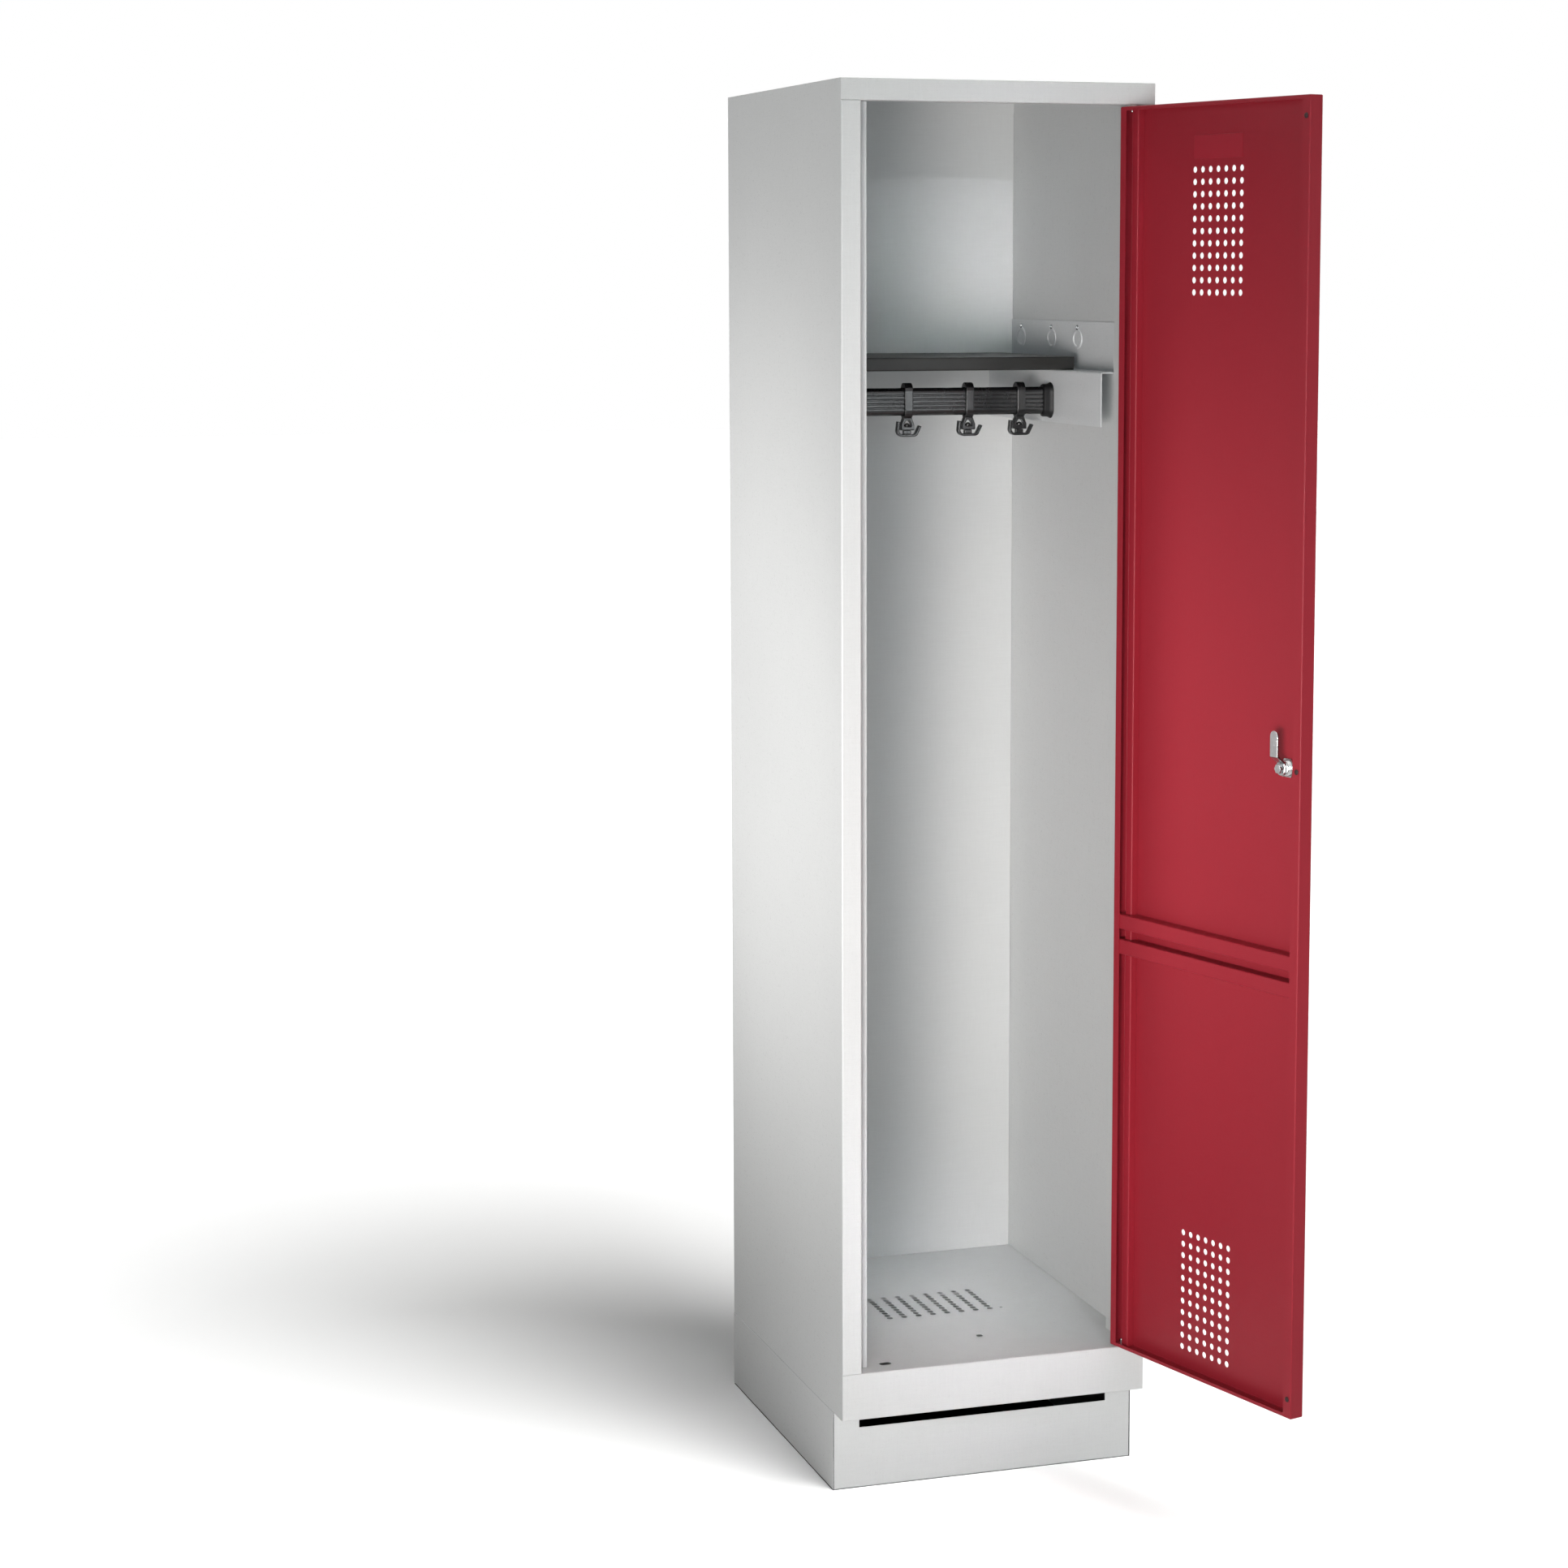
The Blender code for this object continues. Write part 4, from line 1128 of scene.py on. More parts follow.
@dataclass
class ShelfUnit:
    """The hat shelf on its two stepped brackets, with their pressed rings and screws."""

    wardrobe: Wardrobe
    trees: Trees
    inner: float = 0.2062
    sheet: float = 0.0012
    ledge: float = 1.435
    step: float = 0.034
    bend: float = 0.0024
    set_backs: tuple[float, float, float] = (0.250, 0.345, 0.460)
    screw_level: float = 1.4915
    screw_hole: float = 0.0021
    screw_profile: tuple[Point, ...] = (
        (0.0018, -0.0014),
        (0.0018, 0.0),
        (0.0035, 0.0),
        (0.0036, 0.0003),
        (0.0034, 0.0010),
        (0.0028, 0.0015),
        (0.0018, 0.0018),
        (0.0006, 0.0018),
    )
    recess: Point = (0.0005, 0.0020)
    recess_span: Point = (0.0009, 0.0030)
    ring_half: Point = (0.0150, 0.0112)
    ring_level: float = 1.4765
    ring_steps: int = 40
    ridge: Point = (0.0014, 0.0022)
    ridge_steps: int = 12
    shelf_sheet: float = 0.001
    shelf_bend: float = 0.0020
    shelf_lip: float = 0.012
    shelf_inset: float = 0.0008
    corner_seam: float = 0.010
    seam_half: float = 0.0003
    seam_depth: float = 0.0004
    seam_below: float = 0.0015

    def bracket(self, side: Side, front: float) -> None:
        """Makes one bracket with its rings, and its row of screws.

        Args:
            side: The side that the bracket is on.
            front: Where the cabinet's front lies along y.
        """
        hand = side.value
        node = f"{side.word}_shelf_bracket"
        low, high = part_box(node)
        path = [
            (self.inner, high.z),
            (self.inner, self.ledge),
            (self.inner - self.step, self.ledge),
            (self.inner - self.step, low.z),
        ]
        name = f"{side.word}_bracket_sheet"
        bracket = folded(name, side.path(path), self.sheet, Along.Y, (low.y, high.y), self.bend)
        places = [front + set_back for set_back in self.set_backs]
        for place in places:
            outline = circle((place, self.screw_level), self.screw_hole, sides=16)
            start, stop = sorted((hand * (self.inner - CUT_OVER), hand * (self.inner + CUT_OVER)))
            cut(bracket, drawn("screw_hole", outline, Along.X, start, stop))
        face = hand * (self.inner - self.sheet)
        # Painted light: the bracket and its rings take the paler copy of the cabinet paint.
        paint = self.wardrobe.bracket
        spots = [Vector((face, place, self.ring_level)) for place in places]
        rings = self.trees.row.set_out("rings", spots, self.ring(), UNTURNED, paint)
        cut(bracket, rings, operation="UNION")
        self.wardrobe.dress(bracket, Slot.CABINET, "cabinet", node, finish=paint)
        spots = [Vector((face - hand * FIT, place, self.screw_level)) for place in places]
        turn = (0.0, 0.0, math.pi / 2 * (1.0 + hand))
        zinc = self.wardrobe.materials[Slot.ZINC]
        screws = self.trees.row.set_out(f"{side.word}_bracket_screws", spots, self.screw(), turn, zinc)
        nodes = [f"{side.word}_bracket_screw_{number}" for number in (1, 2, 3)]
        self.wardrobe.dress(screws, Slot.ZINC, "cabinet", *nodes)

    def ring(self) -> Piece:
        """Makes one oval ring that is pressed into a bracket.

        Returns:
            The ring around its middle, oval when seen along x.
        """
        rise, half_width = self.ridge
        section = circle((0.0, 0.0), 1.0, self.ridge_steps)
        rings = []
        for step in range(self.ring_steps):
            turn = math.tau * step / self.ring_steps
            out = Vector((0.0, math.cos(turn), math.sin(turn)))
            middle = Vector((0.0, self.ring_half[0] * out.y, self.ring_half[1] * out.z))
            ridge = [Vector((rise * b, 0.0, 0.0)) + out * (half_width * a) for a, b in section]
            rings.append([middle + spot for spot in ridge])
        return loft("ring", rings, closed=True)

    def screw(self) -> Piece:
        """Makes a pan-head screw with a cross recess.

        Returns:
            The screw along x, with its head towards plus x.
        """
        screw = turned("screw", self.screw_profile, Along.X, sides=24)
        start, stop = self.recess_span
        for wide, tall in (self.recess, self.recess[::-1]):
            cut(screw, block("recess", (start, -wide, -tall), (stop, wide, tall)))
        return screw

    def shelf(self) -> None:
        """Makes the shelf with its closed ends and the seams at its front corners."""
        low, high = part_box("hat_shelf")
        path = [
            (low.y + self.shelf_lip, low.z),
            (low.y, low.z),
            (low.y, high.z),
            (high.y, high.z),
            (high.y, low.z),
            (high.y - self.shelf_lip, low.z),
        ]
        shelf = folded("shelf_sheet", path, self.shelf_sheet, Along.X, (low.x, high.x), self.shelf_bend)
        inset = self.shelf_inset
        for side in Side:
            start, stop = sorted((side.value * high.x, side.value * (high.x - self.shelf_sheet)))
            cover = block("end", (start, low.y + inset, low.z), (stop, high.y - inset, high.z - inset))
            cut(shelf, cover, operation="UNION")
            seam = side.value * (high.x - self.corner_seam)
            start = (seam - self.seam_half, low.y - CUT_OVER, low.z - CUT_OVER)
            stop = (seam + self.seam_half, low.y + self.seam_depth, high.z - self.seam_below)
            cut(shelf, block("seam", start, stop))
        self.wardrobe.dress(shelf, Slot.SHELF, "cabinet", "hat_shelf")

    def build(self) -> None:
        """Makes the brackets and the shelf."""
        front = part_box("floor_panel")[0].y
        for side in Side:
            self.bracket(side, front)
        self.shelf()


@dataclass
class ClothesRail:
    """The ribbed rail with its flared end caps, and the three sliding double hooks."""

    wardrobe: Wardrobe
    height: float = 0.0365
    depth: float = 0.014
    wall: float = 0.0022
    groove: float = 0.0013
    lands: int = 5
    land_pitch: float = 0.0055
    land: float = 0.0039
    crown: float = 0.00015
    round_steps: int = 10
    cap_wall: float = 0.0032
    cap_mouth: tuple[Point, ...] = ((0.0, 0.55), (0.0006, 0.85), (0.0020, 1.0))
    cap_flare: float = 0.0022
    cap_curve: tuple[Point, ...] = (
        (0.0070, 0.0),
        (0.0040, 0.25),
        (0.0022, 0.7),
        (0.0012, 1.0),
        (0.0003, 1.0),
        (0.0, 0.8),
    )
    pocket: float = 0.009
    hooks: int = 3
    carrier_voxel: float = 0.00045
    carrier_passes: int = 6
    hook_voxel: float = 0.00040
    hook_passes: int = 5

    def outline(self) -> list[Point]:
        """Draws the rail's section: round ends, and crowned lands between grooves on both faces.

        Returns:
            The section's points around its middle.
        """
        half = self.depth / 2
        flat = self.height / 2 - half
        reach = (self.lands - 1) / 2 * self.land_pitch + self.land / 2
        start = math.asin((reach - flat) / half)
        shares = [(step + 0.5) / self.round_steps for step in range(self.round_steps)]
        turns = [math.pi / 2 + (start - math.pi / 2) * share for share in shares]
        head = [(half * math.cos(turn), flat + half * math.sin(turn)) for turn in turns]
        face = []
        for number in range(self.lands):
            middle = ((self.lands - 1) / 2 - number) * self.land_pitch
            for share in (1.0, 0.5, 0.0, -0.5, -1.0):
                level = middle + share * self.land / 2
                past = max(abs(level) - flat, 0.0)
                face.append((math.sqrt(half**2 - past**2) - self.crown * share**2, level))
            if number < self.lands - 1:
                low = middle - self.land_pitch / 2
                face += [(half - self.groove, low + hand * self.groove / 4) for hand in (1.0, -1.0)]
        side = head + face + [(a, -b) for a, b in reversed(head)]
        return side + [(-a, -b) for a, b in side]

    def rail(self) -> None:
        """Makes the hollow rail with its lands and grooves."""
        low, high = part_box("clothes_rail")
        middle = (low + high) / 2
        hollow = stadium(self.depth / 2 - self.groove - self.wall, self.height / 2 - self.wall)
        outer = [(middle.y + a, middle.z + b) for a, b in self.outline()]
        inner = [(middle.y + a, middle.z + b) for a, b in hollow]
        rail = drawn("rail_tube", outer, Along.X, low.x, high.x)
        cut(rail, drawn("hollow", inner, Along.X, low.x - CUT_OVER, high.x + CUT_OVER))
        self.wardrobe.dress(rail, Slot.PLASTIC, "cabinet", "clothes_rail")

    def cap(self, side: Side) -> None:
        """Makes one cap that holds the rail's end, flared towards the bracket.

        Args:
            side: The side that the cap is on.
        """
        node = f"{side.word}_rail_cap"
        low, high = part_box(node)
        middle = (low + high) / 2
        near, far = (low.x, high.x) if side is Side.RIGHT else (high.x, low.x)
        hand = side.value
        deep, tall = self.depth / 2 + FIT, self.height / 2 + FIT
        wall, flare = self.cap_wall, self.cap_flare
        stations = [(near + hand * self.pocket, 0.0), (near, 0.0)]
        stations += [(near + hand * along, wall * share) for along, share in self.cap_mouth]
        stations += [(far - hand * along, wall + flare * share) for along, share in self.cap_curve]
        rings = []
        for along, more in stations:
            outline = stadium(deep + more, tall + more)
            rings.append([Vector((along, middle.y + a, middle.z + b)) for a, b in outline])
        cap = loft(f"{side.word}_rail_end", rings)
        self.wardrobe.dress(cap, Slot.PLASTIC, "cabinet", node, finish=self.wardrobe.cap)

    def build(self) -> None:
        """Makes the rail, its caps and the hooks."""
        self.rail()
        for side in Side:
            self.cap(side)
        for number in range(1, self.hooks + 1):
            node = f"hook_carrier_{number}"
            ring = moulded(f"carrier_moulding_{number}", node, self.carrier_voxel, self.carrier_passes)
            self.wardrobe.dress(ring, Slot.PLASTIC, f"carrier_{number}", node)
            node = f"double_hook_{number}"
            hook = moulded(f"hook_moulding_{number}", node, self.hook_voxel, self.hook_passes)
            self.wardrobe.dress(hook, Slot.PLASTIC, f"swivel_hook_{number}", node)


@dataclass
class Door:
    """The door pan with its vents, stiffeners and buffers, drawn closed and swung open about its pins."""

    wardrobe: Wardrobe
    trees: Trees
    open_degrees: float = 105.0
    width: float = 0.364
    depth: float = 0.020
    sheet: float = 0.001
    bend: float = 0.0018
    free_lip: float = 0.0145
    hinge_lip: float = 0.012
    end_lip: float = 0.004
    pivot_in: float = 0.006
    pivot_back: float = 0.0054415
    pin_hole: float = 0.0034
    vents: HoleField = HoleField(7, 11, (0.015, 0.015), 0.004, 18)
    vent_top: float = 0.081
    vent_bottom: float = 0.0275
    vent_to_hinge: float = 0.010
    label: Point = (0.093, 0.029)
    label_top: float = 0.039
    label_sink: float = 0.0004
    plate_rise: float = 0.0006
    plate_edge: float = 0.0004
    stiffener_in: float = 0.0135
    stiffener_width: float = 0.0125
    stiffener_depth: float = 0.010
    bar_height: float = 0.0193
    bar_rises: Point = (0.5227, 0.5553)
    buffer_in: float = 0.0065
    buffer_from_end: float = 0.0245
    buffer_hole: float = 0.0025
    buffer_profile: tuple[Point, ...] = (
        (0.0022, -0.0025),
        (0.0022, 0.0),
        (0.0033, 0.0),
        (0.0034, 0.0003),
        (0.0031, 0.0009),
        (0.0024, 0.0013),
        (0.0014, 0.0014),
    )
    lock_in: float = 0.041
    lock_hole: float = 0.0103

    def __post_init__(self) -> None:
        """Reads the pivot and the levels from the CAD."""
        pin_low, pin_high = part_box("lower_hinge_pin")
        pivot = (pin_low + pin_high) / 2
        turn = Matrix.Rotation(math.radians(self.open_degrees), 4, "Z")
        self.place = Matrix.Translation((pivot.x, pivot.y, 0.0)) @ turn
        low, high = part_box("door_panel")
        self.low, self.high = low.z, high.z
        self.hinge = self.pivot_in
        self.free = self.pivot_in - self.width
        self.outside = -self.pivot_back
        self.inside = self.outside + self.depth
        self.middle = (self.hinge + self.free) / 2 + self.vent_to_hinge
        self.lock_spot = Vector((self.free + self.lock_in, self.outside, (self.low + self.high) / 2))

    def hang(self, piece: Piece, slot: Slot, *nodes: str, finish: Material | None = None) -> None:
        """Swings a piece to the door's place and dresses it."""
        piece.data.transform(self.place)
        self.wardrobe.dress(piece, slot, "door", *nodes, finish=finish)

    def pan(self) -> None:
        """Makes the pan: a shell with rounded folds, lips all round and its holes."""
        sheet = self.sheet
        low, high = (self.free, self.outside, self.low), (self.hinge, self.inside, self.high)
        pan = block("door_pan", low, high, self.bend)
        low = (self.free + sheet, self.outside + sheet, self.low + sheet)
        high = (self.hinge - sheet, self.inside - sheet, self.high - sheet)
        cut(pan, block("hollow", low, high, self.bend - sheet))
        low = (self.free + self.free_lip, self.inside - self.depth / 2, self.low + sheet + self.end_lip)
        high = (self.hinge - self.hinge_lip, self.inside + CUT_OVER, self.high - sheet - self.end_lip)
        cut(pan, block("mouth", low, high))
        self.pierce(pan)
        self.hang(pan, Slot.DOOR, "door_panel")

    def pierce(self, pan: Piece) -> None:
        """Cuts the pan's holes for pins, lock, buffers and vents, and sinks its label field.

        Args:
            pan: The pan, which is changed.
        """
        pin = circle((0.0, 0.0), self.pin_hole)
        for level in (self.low, self.high):
            cut(pan, drawn("pin", pin, Along.Z, level - CUT_OVER, level + CUT_OVER))
        label_high = self.high - self.label_top
        reach = self.label[0] / 2
        low = (self.middle - reach, self.outside - CUT_OVER, label_high - self.label[1])
        cut(pan, block("label", low, (self.middle + reach, self.outside + self.label_sink, label_high)))
        lock = circle((self.lock_spot.x, self.lock_spot.z), self.lock_hole, sides=32)
        cut(pan, drawn("lock", lock, Along.Y, self.outside - CUT_OVER, self.outside + CUT_OVER))
        for level in self.buffer_levels():
            hole = circle((self.free + self.buffer_in, level), self.buffer_hole, sides=16)
            cut(pan, drawn("buffer", hole, Along.Y, self.inside - 3 * self.sheet, self.inside + CUT_OVER))
        rise = self.vents.half[1]
        turn = (math.pi / 2, 0.0, 0.0)
        paint = self.wardrobe.materials[Slot.DOOR]
        for level in (self.high - self.vent_top - rise, self.low + self.vent_bottom + rise):
            self.trees.perforation.punch(pan, self.vents, (self.middle, self.outside, level), turn, paint)

    def label_plate(self) -> None:
        """Makes the plain pressed plate that stands behind the label field."""
        high = self.high - self.label_top
        reach = self.label[0] / 2
        seat = self.outside + self.sheet
        start = (self.middle - reach, seat - FIT, high - self.label[1])
        stop = (self.middle + reach, seat + self.plate_rise, high)
        plate = block("label_plate", start, stop, self.plate_edge, steps=2)
        self.hang(plate, Slot.DOOR, finish=self.wardrobe.label)

    def buffer_levels(self) -> tuple[float, float, float]:
        """The heights of the three buffers."""
        return (self.high - self.buffer_from_end, self.lock_spot.z, self.low + self.buffer_from_end)

    def buffers(self) -> None:
        """Makes the three domed buffers in the free lip."""
        dome = turned("buffer", self.buffer_profile, Along.Y, sides=28)
        across = self.free + self.buffer_in
        spots = [Vector((across, self.inside + FIT, level)) for level in self.buffer_levels()]
        rubber = self.wardrobe.materials[Slot.RUBBER]
        buffers = self.trees.row.set_out("door_buffers", spots, dome, UNTURNED, rubber)
        nodes = [f"{word}_door_buffer" for word in ("top", "middle", "low")]
        self.hang(buffers, Slot.RUBBER, *nodes)

    def stiffeners(self) -> None:
        """Makes the upright channel at the hinge side and the two crossbars that bridge it."""
        seat = self.outside + self.sheet + FIT
        near = self.hinge - self.stiffener_in
        far = near - self.stiffener_width
        crest = seat + self.stiffener_depth
        low, high = self.low + self.sheet + FIT, self.high - self.sheet - FIT
        path = [(far, seat), (far, crest), (near, crest), (near, seat)]
        channel = folded("hinge_channel", path, self.sheet, Along.Z, (low, high))
        self.hang(channel, Slot.DOOR, "hinge_stiffener")
        span = (self.free + self.sheet + FIT, self.hinge - self.sheet - FIT)
        top = self.outside + self.depth - self.sheet - FIT
        for node, rise in zip(("lower_crossbar", "upper_crossbar"), self.bar_rises):
            base = self.low + rise
            brim = base + self.bar_height
            path = [(seat, brim), (top, brim), (top, base), (seat, base)]
            bar = folded(f"{node}_channel", path, self.sheet, Along.X, span)
            cut(bar, block("bridge", (far - FIT, seat - CUT_OVER, low), (near + FIT, crest + FIT, high)))
            self.hang(bar, Slot.DOOR, node)

    def build(self) -> None:
        """Makes the door and all that is fixed to it."""
        self.pan()
        self.label_plate()
        self.buffers()
        self.stiffeners()


@dataclass
class CamLock:
    """The cam lock in the door: rosette and threaded barrel, nut, plug, cranked cam and its nut."""

    wardrobe: Wardrobe
    door: Door
    bore: float = 0.0060
    rosette: Point = (0.0130, 0.0025)
    rosette_round: tuple[Point, ...] = ((0.0012, 0.0), (0.0005, 0.0002), (0.0001, 0.0007), (0.0, 0.0012))
    barrel: Point = (0.0100, 0.0130)
    barrel_chamfer: float = 0.0006
    thread_start: float = 0.0058
    thread_turns: int = 6
    thread_pitch: float = 0.0010
    thread_depth: float = 0.0004
    plug: float = 0.0056
    plug_chamfer: float = 0.0005
    spigot: float = 0.0030
    spigot_length: float = 0.0028
    spigot_chamfer: float = 0.0004
    keyway: tuple[float, float, float] = (0.0012, 0.008, 0.003)
    steel: tuple[tuple[str, str, str, float], ...] = (
        ("lock_hex_nut", "lock_nut", "door", 0.0006),
        ("lock_cranked_cam", "lock_cam", "lock_core", 0.0005),
        ("cam_hex_nut", "cam_nut", "lock_core", 0.0007),
    )

    def body(self) -> None:
        """Makes the rosette and the barrel with its thread."""
        face = -FIT - self.rosette[1]
        radius, length = self.barrel
        brim = self.rosette[0]
        profile = [(self.bore, face)]
        profile += [(brim - inward, face + rise) for inward, rise in self.rosette_round]
        profile += [(brim, -FIT), (radius, -FIT)]
        for step in range(self.thread_turns):
            base = self.thread_start + step * self.thread_pitch
            profile.append((radius, base))
            profile.append((radius - self.thread_depth, base + self.thread_pitch / 2))
        chamfer = self.barrel_chamfer
        profile += [(radius, length - chamfer), (radius - chamfer, length), (self.bore, length)]
        body = turned("lock_barrel", profile, Along.Y, sides=48, closed=True)
        body.data.transform(Matrix.Translation(self.door.lock_spot))
        self.door.hang(body, Slot.CHROME, "lock_body")

    def core(self) -> None:
        """Makes the plug with its keyway."""
        low, high = -2 * FIT - self.rosette[1], self.barrel[1]
        end = high + 2 * FIT + self.spigot_length
        profile = [
            (self.plug - self.plug_chamfer, low),
            (self.plug, low + self.plug_chamfer),
            (self.plug, high + FIT),
            (self.spigot, high + FIT),
            (self.spigot, end - self.spigot_chamfer),
            (self.spigot - self.spigot_chamfer, end),
        ]
        plug = turned("lock_key_plug", profile, Along.Y)
        half, tall = self.keyway[0] / 2, self.keyway[1] / 2
        cut(plug, block("keyway", (-half, low - CUT_OVER, -tall), (half, low + self.keyway[2], tall)))
        plug.data.transform(self.door.place @ Matrix.Translation(self.door.lock_spot))
        self.wardrobe.dress(plug, Slot.CHROME, "lock_core", "lock_plug")

    def build(self) -> None:
        """Makes all the lock's pieces."""
        self.body()
        self.core()
        for name, node, body, edge in self.steel:
            self.wardrobe.dress(softened(name, node, edge), Slot.ZINC, body, node)


@dataclass
class HingePins:
    """The two headed pins that the door turns on, with a washer on each."""

    wardrobe: Wardrobe
    edge: float = 0.0004

    def build(self) -> None:
        """Makes the pins and washers with broken edges."""
        for end in ("lower", "upper"):
            for word, slot in (("pin", Slot.ZINC), ("washer", Slot.WASHER)):
                node = f"{end}_hinge_{word}"
                self.wardrobe.dress(softened(f"{end}_{word}", node, self.edge), slot, "cabinet", node)


def link_light(stand: Piece, floor: Piece, state: str) -> None:
    """Keeps a lamp to the floor alone, or off the floor.

    Args:
        stand: The lamp's object.
        floor: The studio floor.
        state: INCLUDE for the floor alone, EXCLUDE for all but the floor.
    """
    receivers = bpy.data.collections.new(f"{stand.name}_receivers")
    receivers.objects.link(floor)
    receivers.collection_objects[0].light_linking.link_state = state
    stand.light_linking.receiver_collection = receivers


@dataclass(frozen=True)
class Lamp:
    """A round soft lamp with a hood that narrows its beam."""

    name: str
    place: Place
    aim: Place
    size: float
    power: float
    spread: float = 180.0
    colour: Colour = (1.0, 1.0, 1.0)
    spares_floor: bool = False

    def hang(self, floor: Piece) -> None:
        """Hangs the lamp, points it and keeps it out of the picture.

        Args:
            floor: The studio floor, which a lamp at the back doesn't light.
        """
        lamp = bpy.data.lights.new(self.name, "AREA")
        lamp.shape = "DISK"
        lamp.size = self.size
        lamp.energy = self.power
        lamp.spread = math.radians(self.spread)
        lamp.color = self.colour
        stand = bpy.data.objects.new(self.name, lamp)
        stand.location = self.place
        way = Vector(self.aim) - Vector(self.place)
        stand.rotation_euler = way.to_track_quat("-Z", "Y").to_euler()
        stand.visible_camera = False
        bpy.context.scene.collection.objects.link(stand)
        if self.spares_floor:
            link_light(stand, floor, "EXCLUDE")


LAMPS = (
    Lamp("overhead", (0.4, -1.3, 4.8), (0.0, -0.4, 0.9), 3.0, 64.0, colour=(1.0, 1.0, 0.95)),
    Lamp("beside_camera", (-1.6, -4.8, 1.9), (0.1, -0.3, 0.9), 1.5, 8.4, colour=(0.43, 0.86, 1.0)),
    Lamp("front_right", (1.3, -4.7, 1.4), (0.0, -0.2, 1.2), 1.2, 6.0, colour=(0.75, 0.94, 1.0)),
    Lamp("left_front", (-1.9, -3.6, 0.9), (0.1, -0.2, 0.8), 1.0, 8.1, 50.0, (1.0, 0.94, 0.91)),
    Lamp("left_side", (-2.1, 0.05, 0.99), (-0.2, -0.12, 0.99), 1.0, 1.8, 24.0, (1.0, 0.97, 0.96)),
    Lamp("low_front", (-0.9, -2.4, 0.75), (0.0, -0.3, 0.75), 0.8, 4.0, 90.0, (1.0, 0.97, 0.98)),
    Lamp("over_shelf", (-0.6, -4.6, 2.35), (0.06, -0.48, 1.63), 0.3, 0.075, 4.6, (0.92, 0.97, 1.0)),
    Lamp("along_rail", (1.45, -4.6, 1.4), (-0.04, -0.25, 1.4), 0.6, 0.020, 5.0),
    Lamp("inner_floor", (-0.35, -3.0, 2.4), (0.02, -0.28, 0.19), 0.3, 0.165, 7.0, (0.92, 0.94, 1.0)),
    Lamp("right_side", (3.2, 0.5, 1.7), (0.2, -0.3, 0.9), 2.0, 70.0, spares_floor=True),
    Lamp("behind", (1.1, 4.0, 1.8), (0.0, 0.0, 0.9), 2.0, 90.0, spares_floor=True),
)


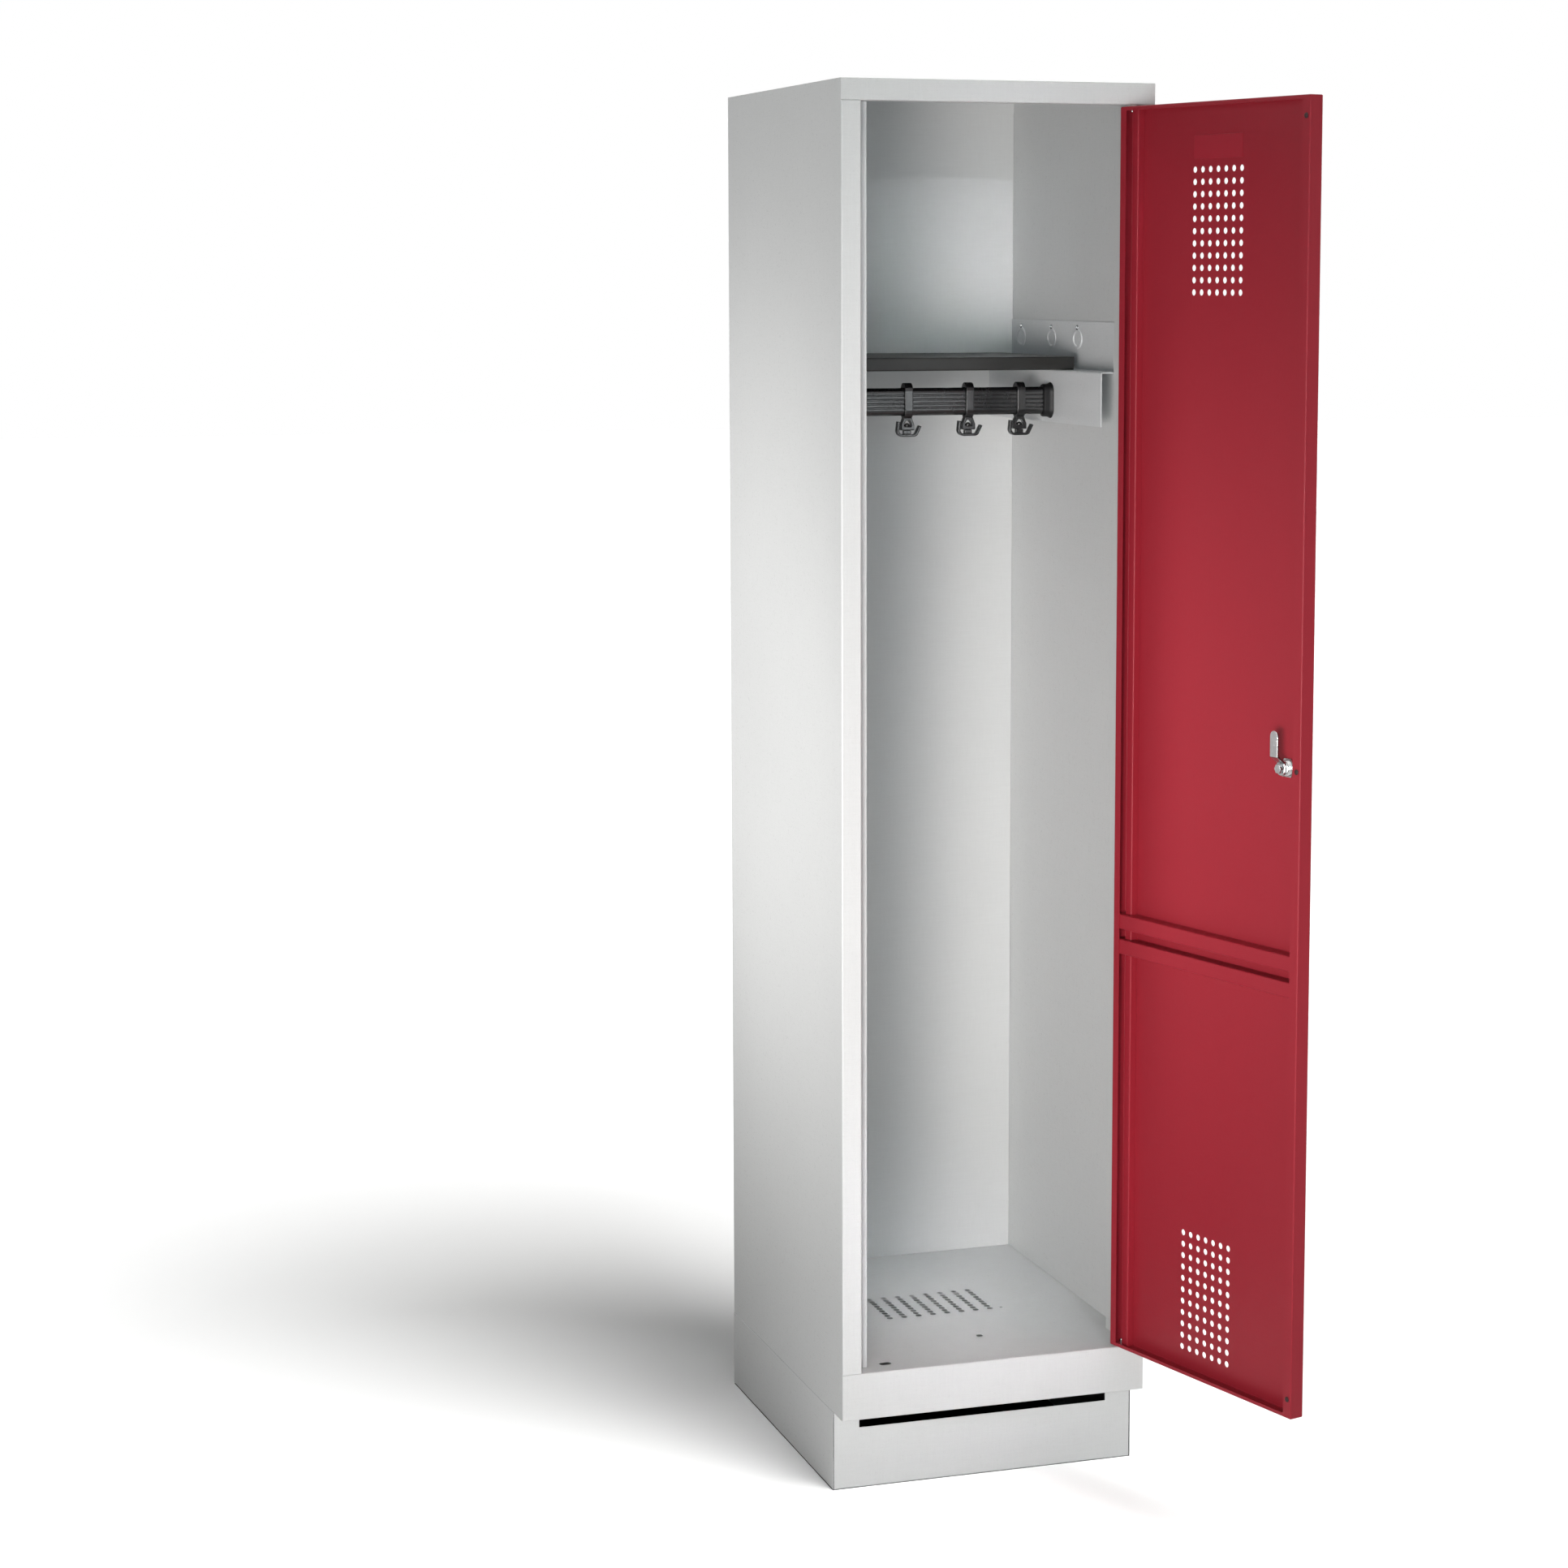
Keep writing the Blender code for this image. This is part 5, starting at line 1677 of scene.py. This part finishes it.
@dataclass
class Studio:
    """The pale floor, the white surround, the soft lamps and the camera."""

    floor_size: float = 60.0
    floor_seen: float = 0.86
    floor_bounce: float = 0.52
    near: float = 1.2
    near_lift: float = 0.05
    far: float = 3.5
    far_lift: float = 0.4
    sun_from: Place = (0.58, -1.13, 1.8)
    sun_strength: float = 4.0
    sun_degrees: float = 34.0
    camera_place: Place = (-1.5121, -4.5239, 1.5558)
    camera_yaw: float = 18.5113
    camera_pitch: float = 7.0823
    sensor: float = 36.0
    lens: float = 78.8045
    shift: Point = (-0.06, -0.05)

    def floor_paint(self) -> Material:
        """Builds the floor's material.

        Returns:
            A material that is white to the eye, keeps the shadow and is painted black under the plinth as
            painted shade.
        """
        graph = ShaderGraph("studio_floor")
        seen = graph.node("ShaderNodeLightPath", output="Is Camera Ray")
        low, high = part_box("plinth_left")[0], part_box("plinth_right")[1]
        middle, reach = (low + high) / 2, (high - low) / 2
        spots = {0: graph.place, 1: tuple(middle)}
        away = graph.node("ShaderNodeVectorMath", {"operation": "SUBTRACT"}, spots)
        across = graph.node("ShaderNodeSeparateXYZ", None, {0: away}, "X")
        along = graph.node("ShaderNodeSeparateXYZ", None, {0: away}, "Y")
        # Painted shade: the floor under the plinth gets no colour and no lift, so it shows black.
        floor_outside_painted_shade = 1.0 - across.unsigned().below(reach.x) * along.unsigned().below(reach.y)
        level = self.floor_bounce + seen * (self.floor_seen - self.floor_bounce)
        pale = graph.node("ShaderNodeBsdfDiffuse", None, {"Color": level * floor_outside_painted_shade})
        far = graph.node("ShaderNodeVectorMath", {"operation": "LENGTH"}, {0: away}, "Value")
        span = {
            "Value": far,
            "From Min": self.near,
            "From Max": self.far,
            "To Min": self.near_lift,
            "To Max": self.far_lift,
        }
        rise = graph.node("ShaderNodeMapRange", None, span)
        lift = graph.node("ShaderNodeEmission", None, {"Strength": seen * rise * floor_outside_painted_shade})
        both = graph.node("ShaderNodeAddShader", None, {0: pale, 1: lift})
        graph.node("ShaderNodeOutputMaterial", None, {"Surface": both})
        return graph.material

    def floor(self) -> Piece:
        """Makes the studio floor.

        Returns:
            The floor, which some lamps are kept to or kept off.
        """
        form = bmesh.new()
        bmesh.ops.create_grid(form, x_segments=1, y_segments=1, size=self.floor_size / 2)
        floor = closed_form("studio_floor", form)
        floor.data.materials.append(self.floor_paint())
        return floor

    def surround(self) -> None:
        """Sets the surround, which is white to the eye and in gloss and gives no other light."""
        world = bpy.data.worlds.new("studio")
        world.use_nodes = True
        bpy.context.scene.world = world
        graph = Graph(world.node_tree)
        graph.tree.nodes.clear()
        kinds = ("Is Camera Ray", "Is Glossy Ray", "Is Transmission Ray")
        eye, gloss, through = (graph.node("ShaderNodeLightPath", output=kind) for kind in kinds)
        clamped = {"operation": "ADD", "use_clamp": True}
        shown = graph.node("ShaderNodeMath", clamped, {0: eye + gloss, 1: through})
        white = graph.node("ShaderNodeBackground", None, {"Color": WHITE, "Strength": shown})
        graph.node("ShaderNodeOutputWorld", None, {"Surface": white})

    def floor_sun(self, floor: Piece) -> None:
        """Lights the floor alone from the front right, so that the locker's shadow falls behind it.

        Args:
            floor: The floor that the light is kept to.
        """
        lamp = bpy.data.lights.new("floor_sun", "SUN")
        lamp.energy = self.sun_strength
        lamp.angle = math.radians(self.sun_degrees)
        stand = bpy.data.objects.new("floor_sun", lamp)
        stand.rotation_euler = (-Vector(self.sun_from)).to_track_quat("-Z", "Y").to_euler()
        bpy.context.scene.collection.objects.link(stand)
        link_light(stand, floor, "INCLUDE")

    def camera(self) -> None:
        """Sets the camera where the picture was taken from."""
        lens = bpy.data.cameras.new("camera")
        lens.sensor_width = self.sensor
        lens.lens = self.lens
        lens.shift_x, lens.shift_y = self.shift
        eye = bpy.data.objects.new("camera", lens)
        eye.location = self.camera_place
        tilt, yaw = math.radians(90.0 - self.camera_pitch), math.radians(-self.camera_yaw)
        eye.rotation_euler = (tilt, 0.0, yaw)
        bpy.context.scene.collection.objects.link(eye)
        bpy.context.scene.camera = eye

    def build(self) -> None:
        """Sets up the whole studio."""
        bpy.context.scene.view_settings.view_transform = "Standard"
        floor = self.floor()
        self.floor_sun(floor)
        self.surround()
        for lamp in LAMPS:
            lamp.hang(floor)
        self.camera()


def main() -> None:
    """Builds the locker's pieces in order, then the studio."""
    logging.basicConfig(level=logging.INFO, format="%(name)s %(message)s")
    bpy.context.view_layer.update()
    Studio().build()
    wardrobe = Wardrobe()
    trees = Trees()
    Cabinet(wardrobe, trees).build()
    Plinth(wardrobe).build()
    ShelfUnit(wardrobe, trees).build()
    ClothesRail(wardrobe).build()
    door = Door(wardrobe, trees)
    door.build()
    CamLock(wardrobe, door).build()
    HingePins(wardrobe).build()


if __name__ == "__main__":
    main()
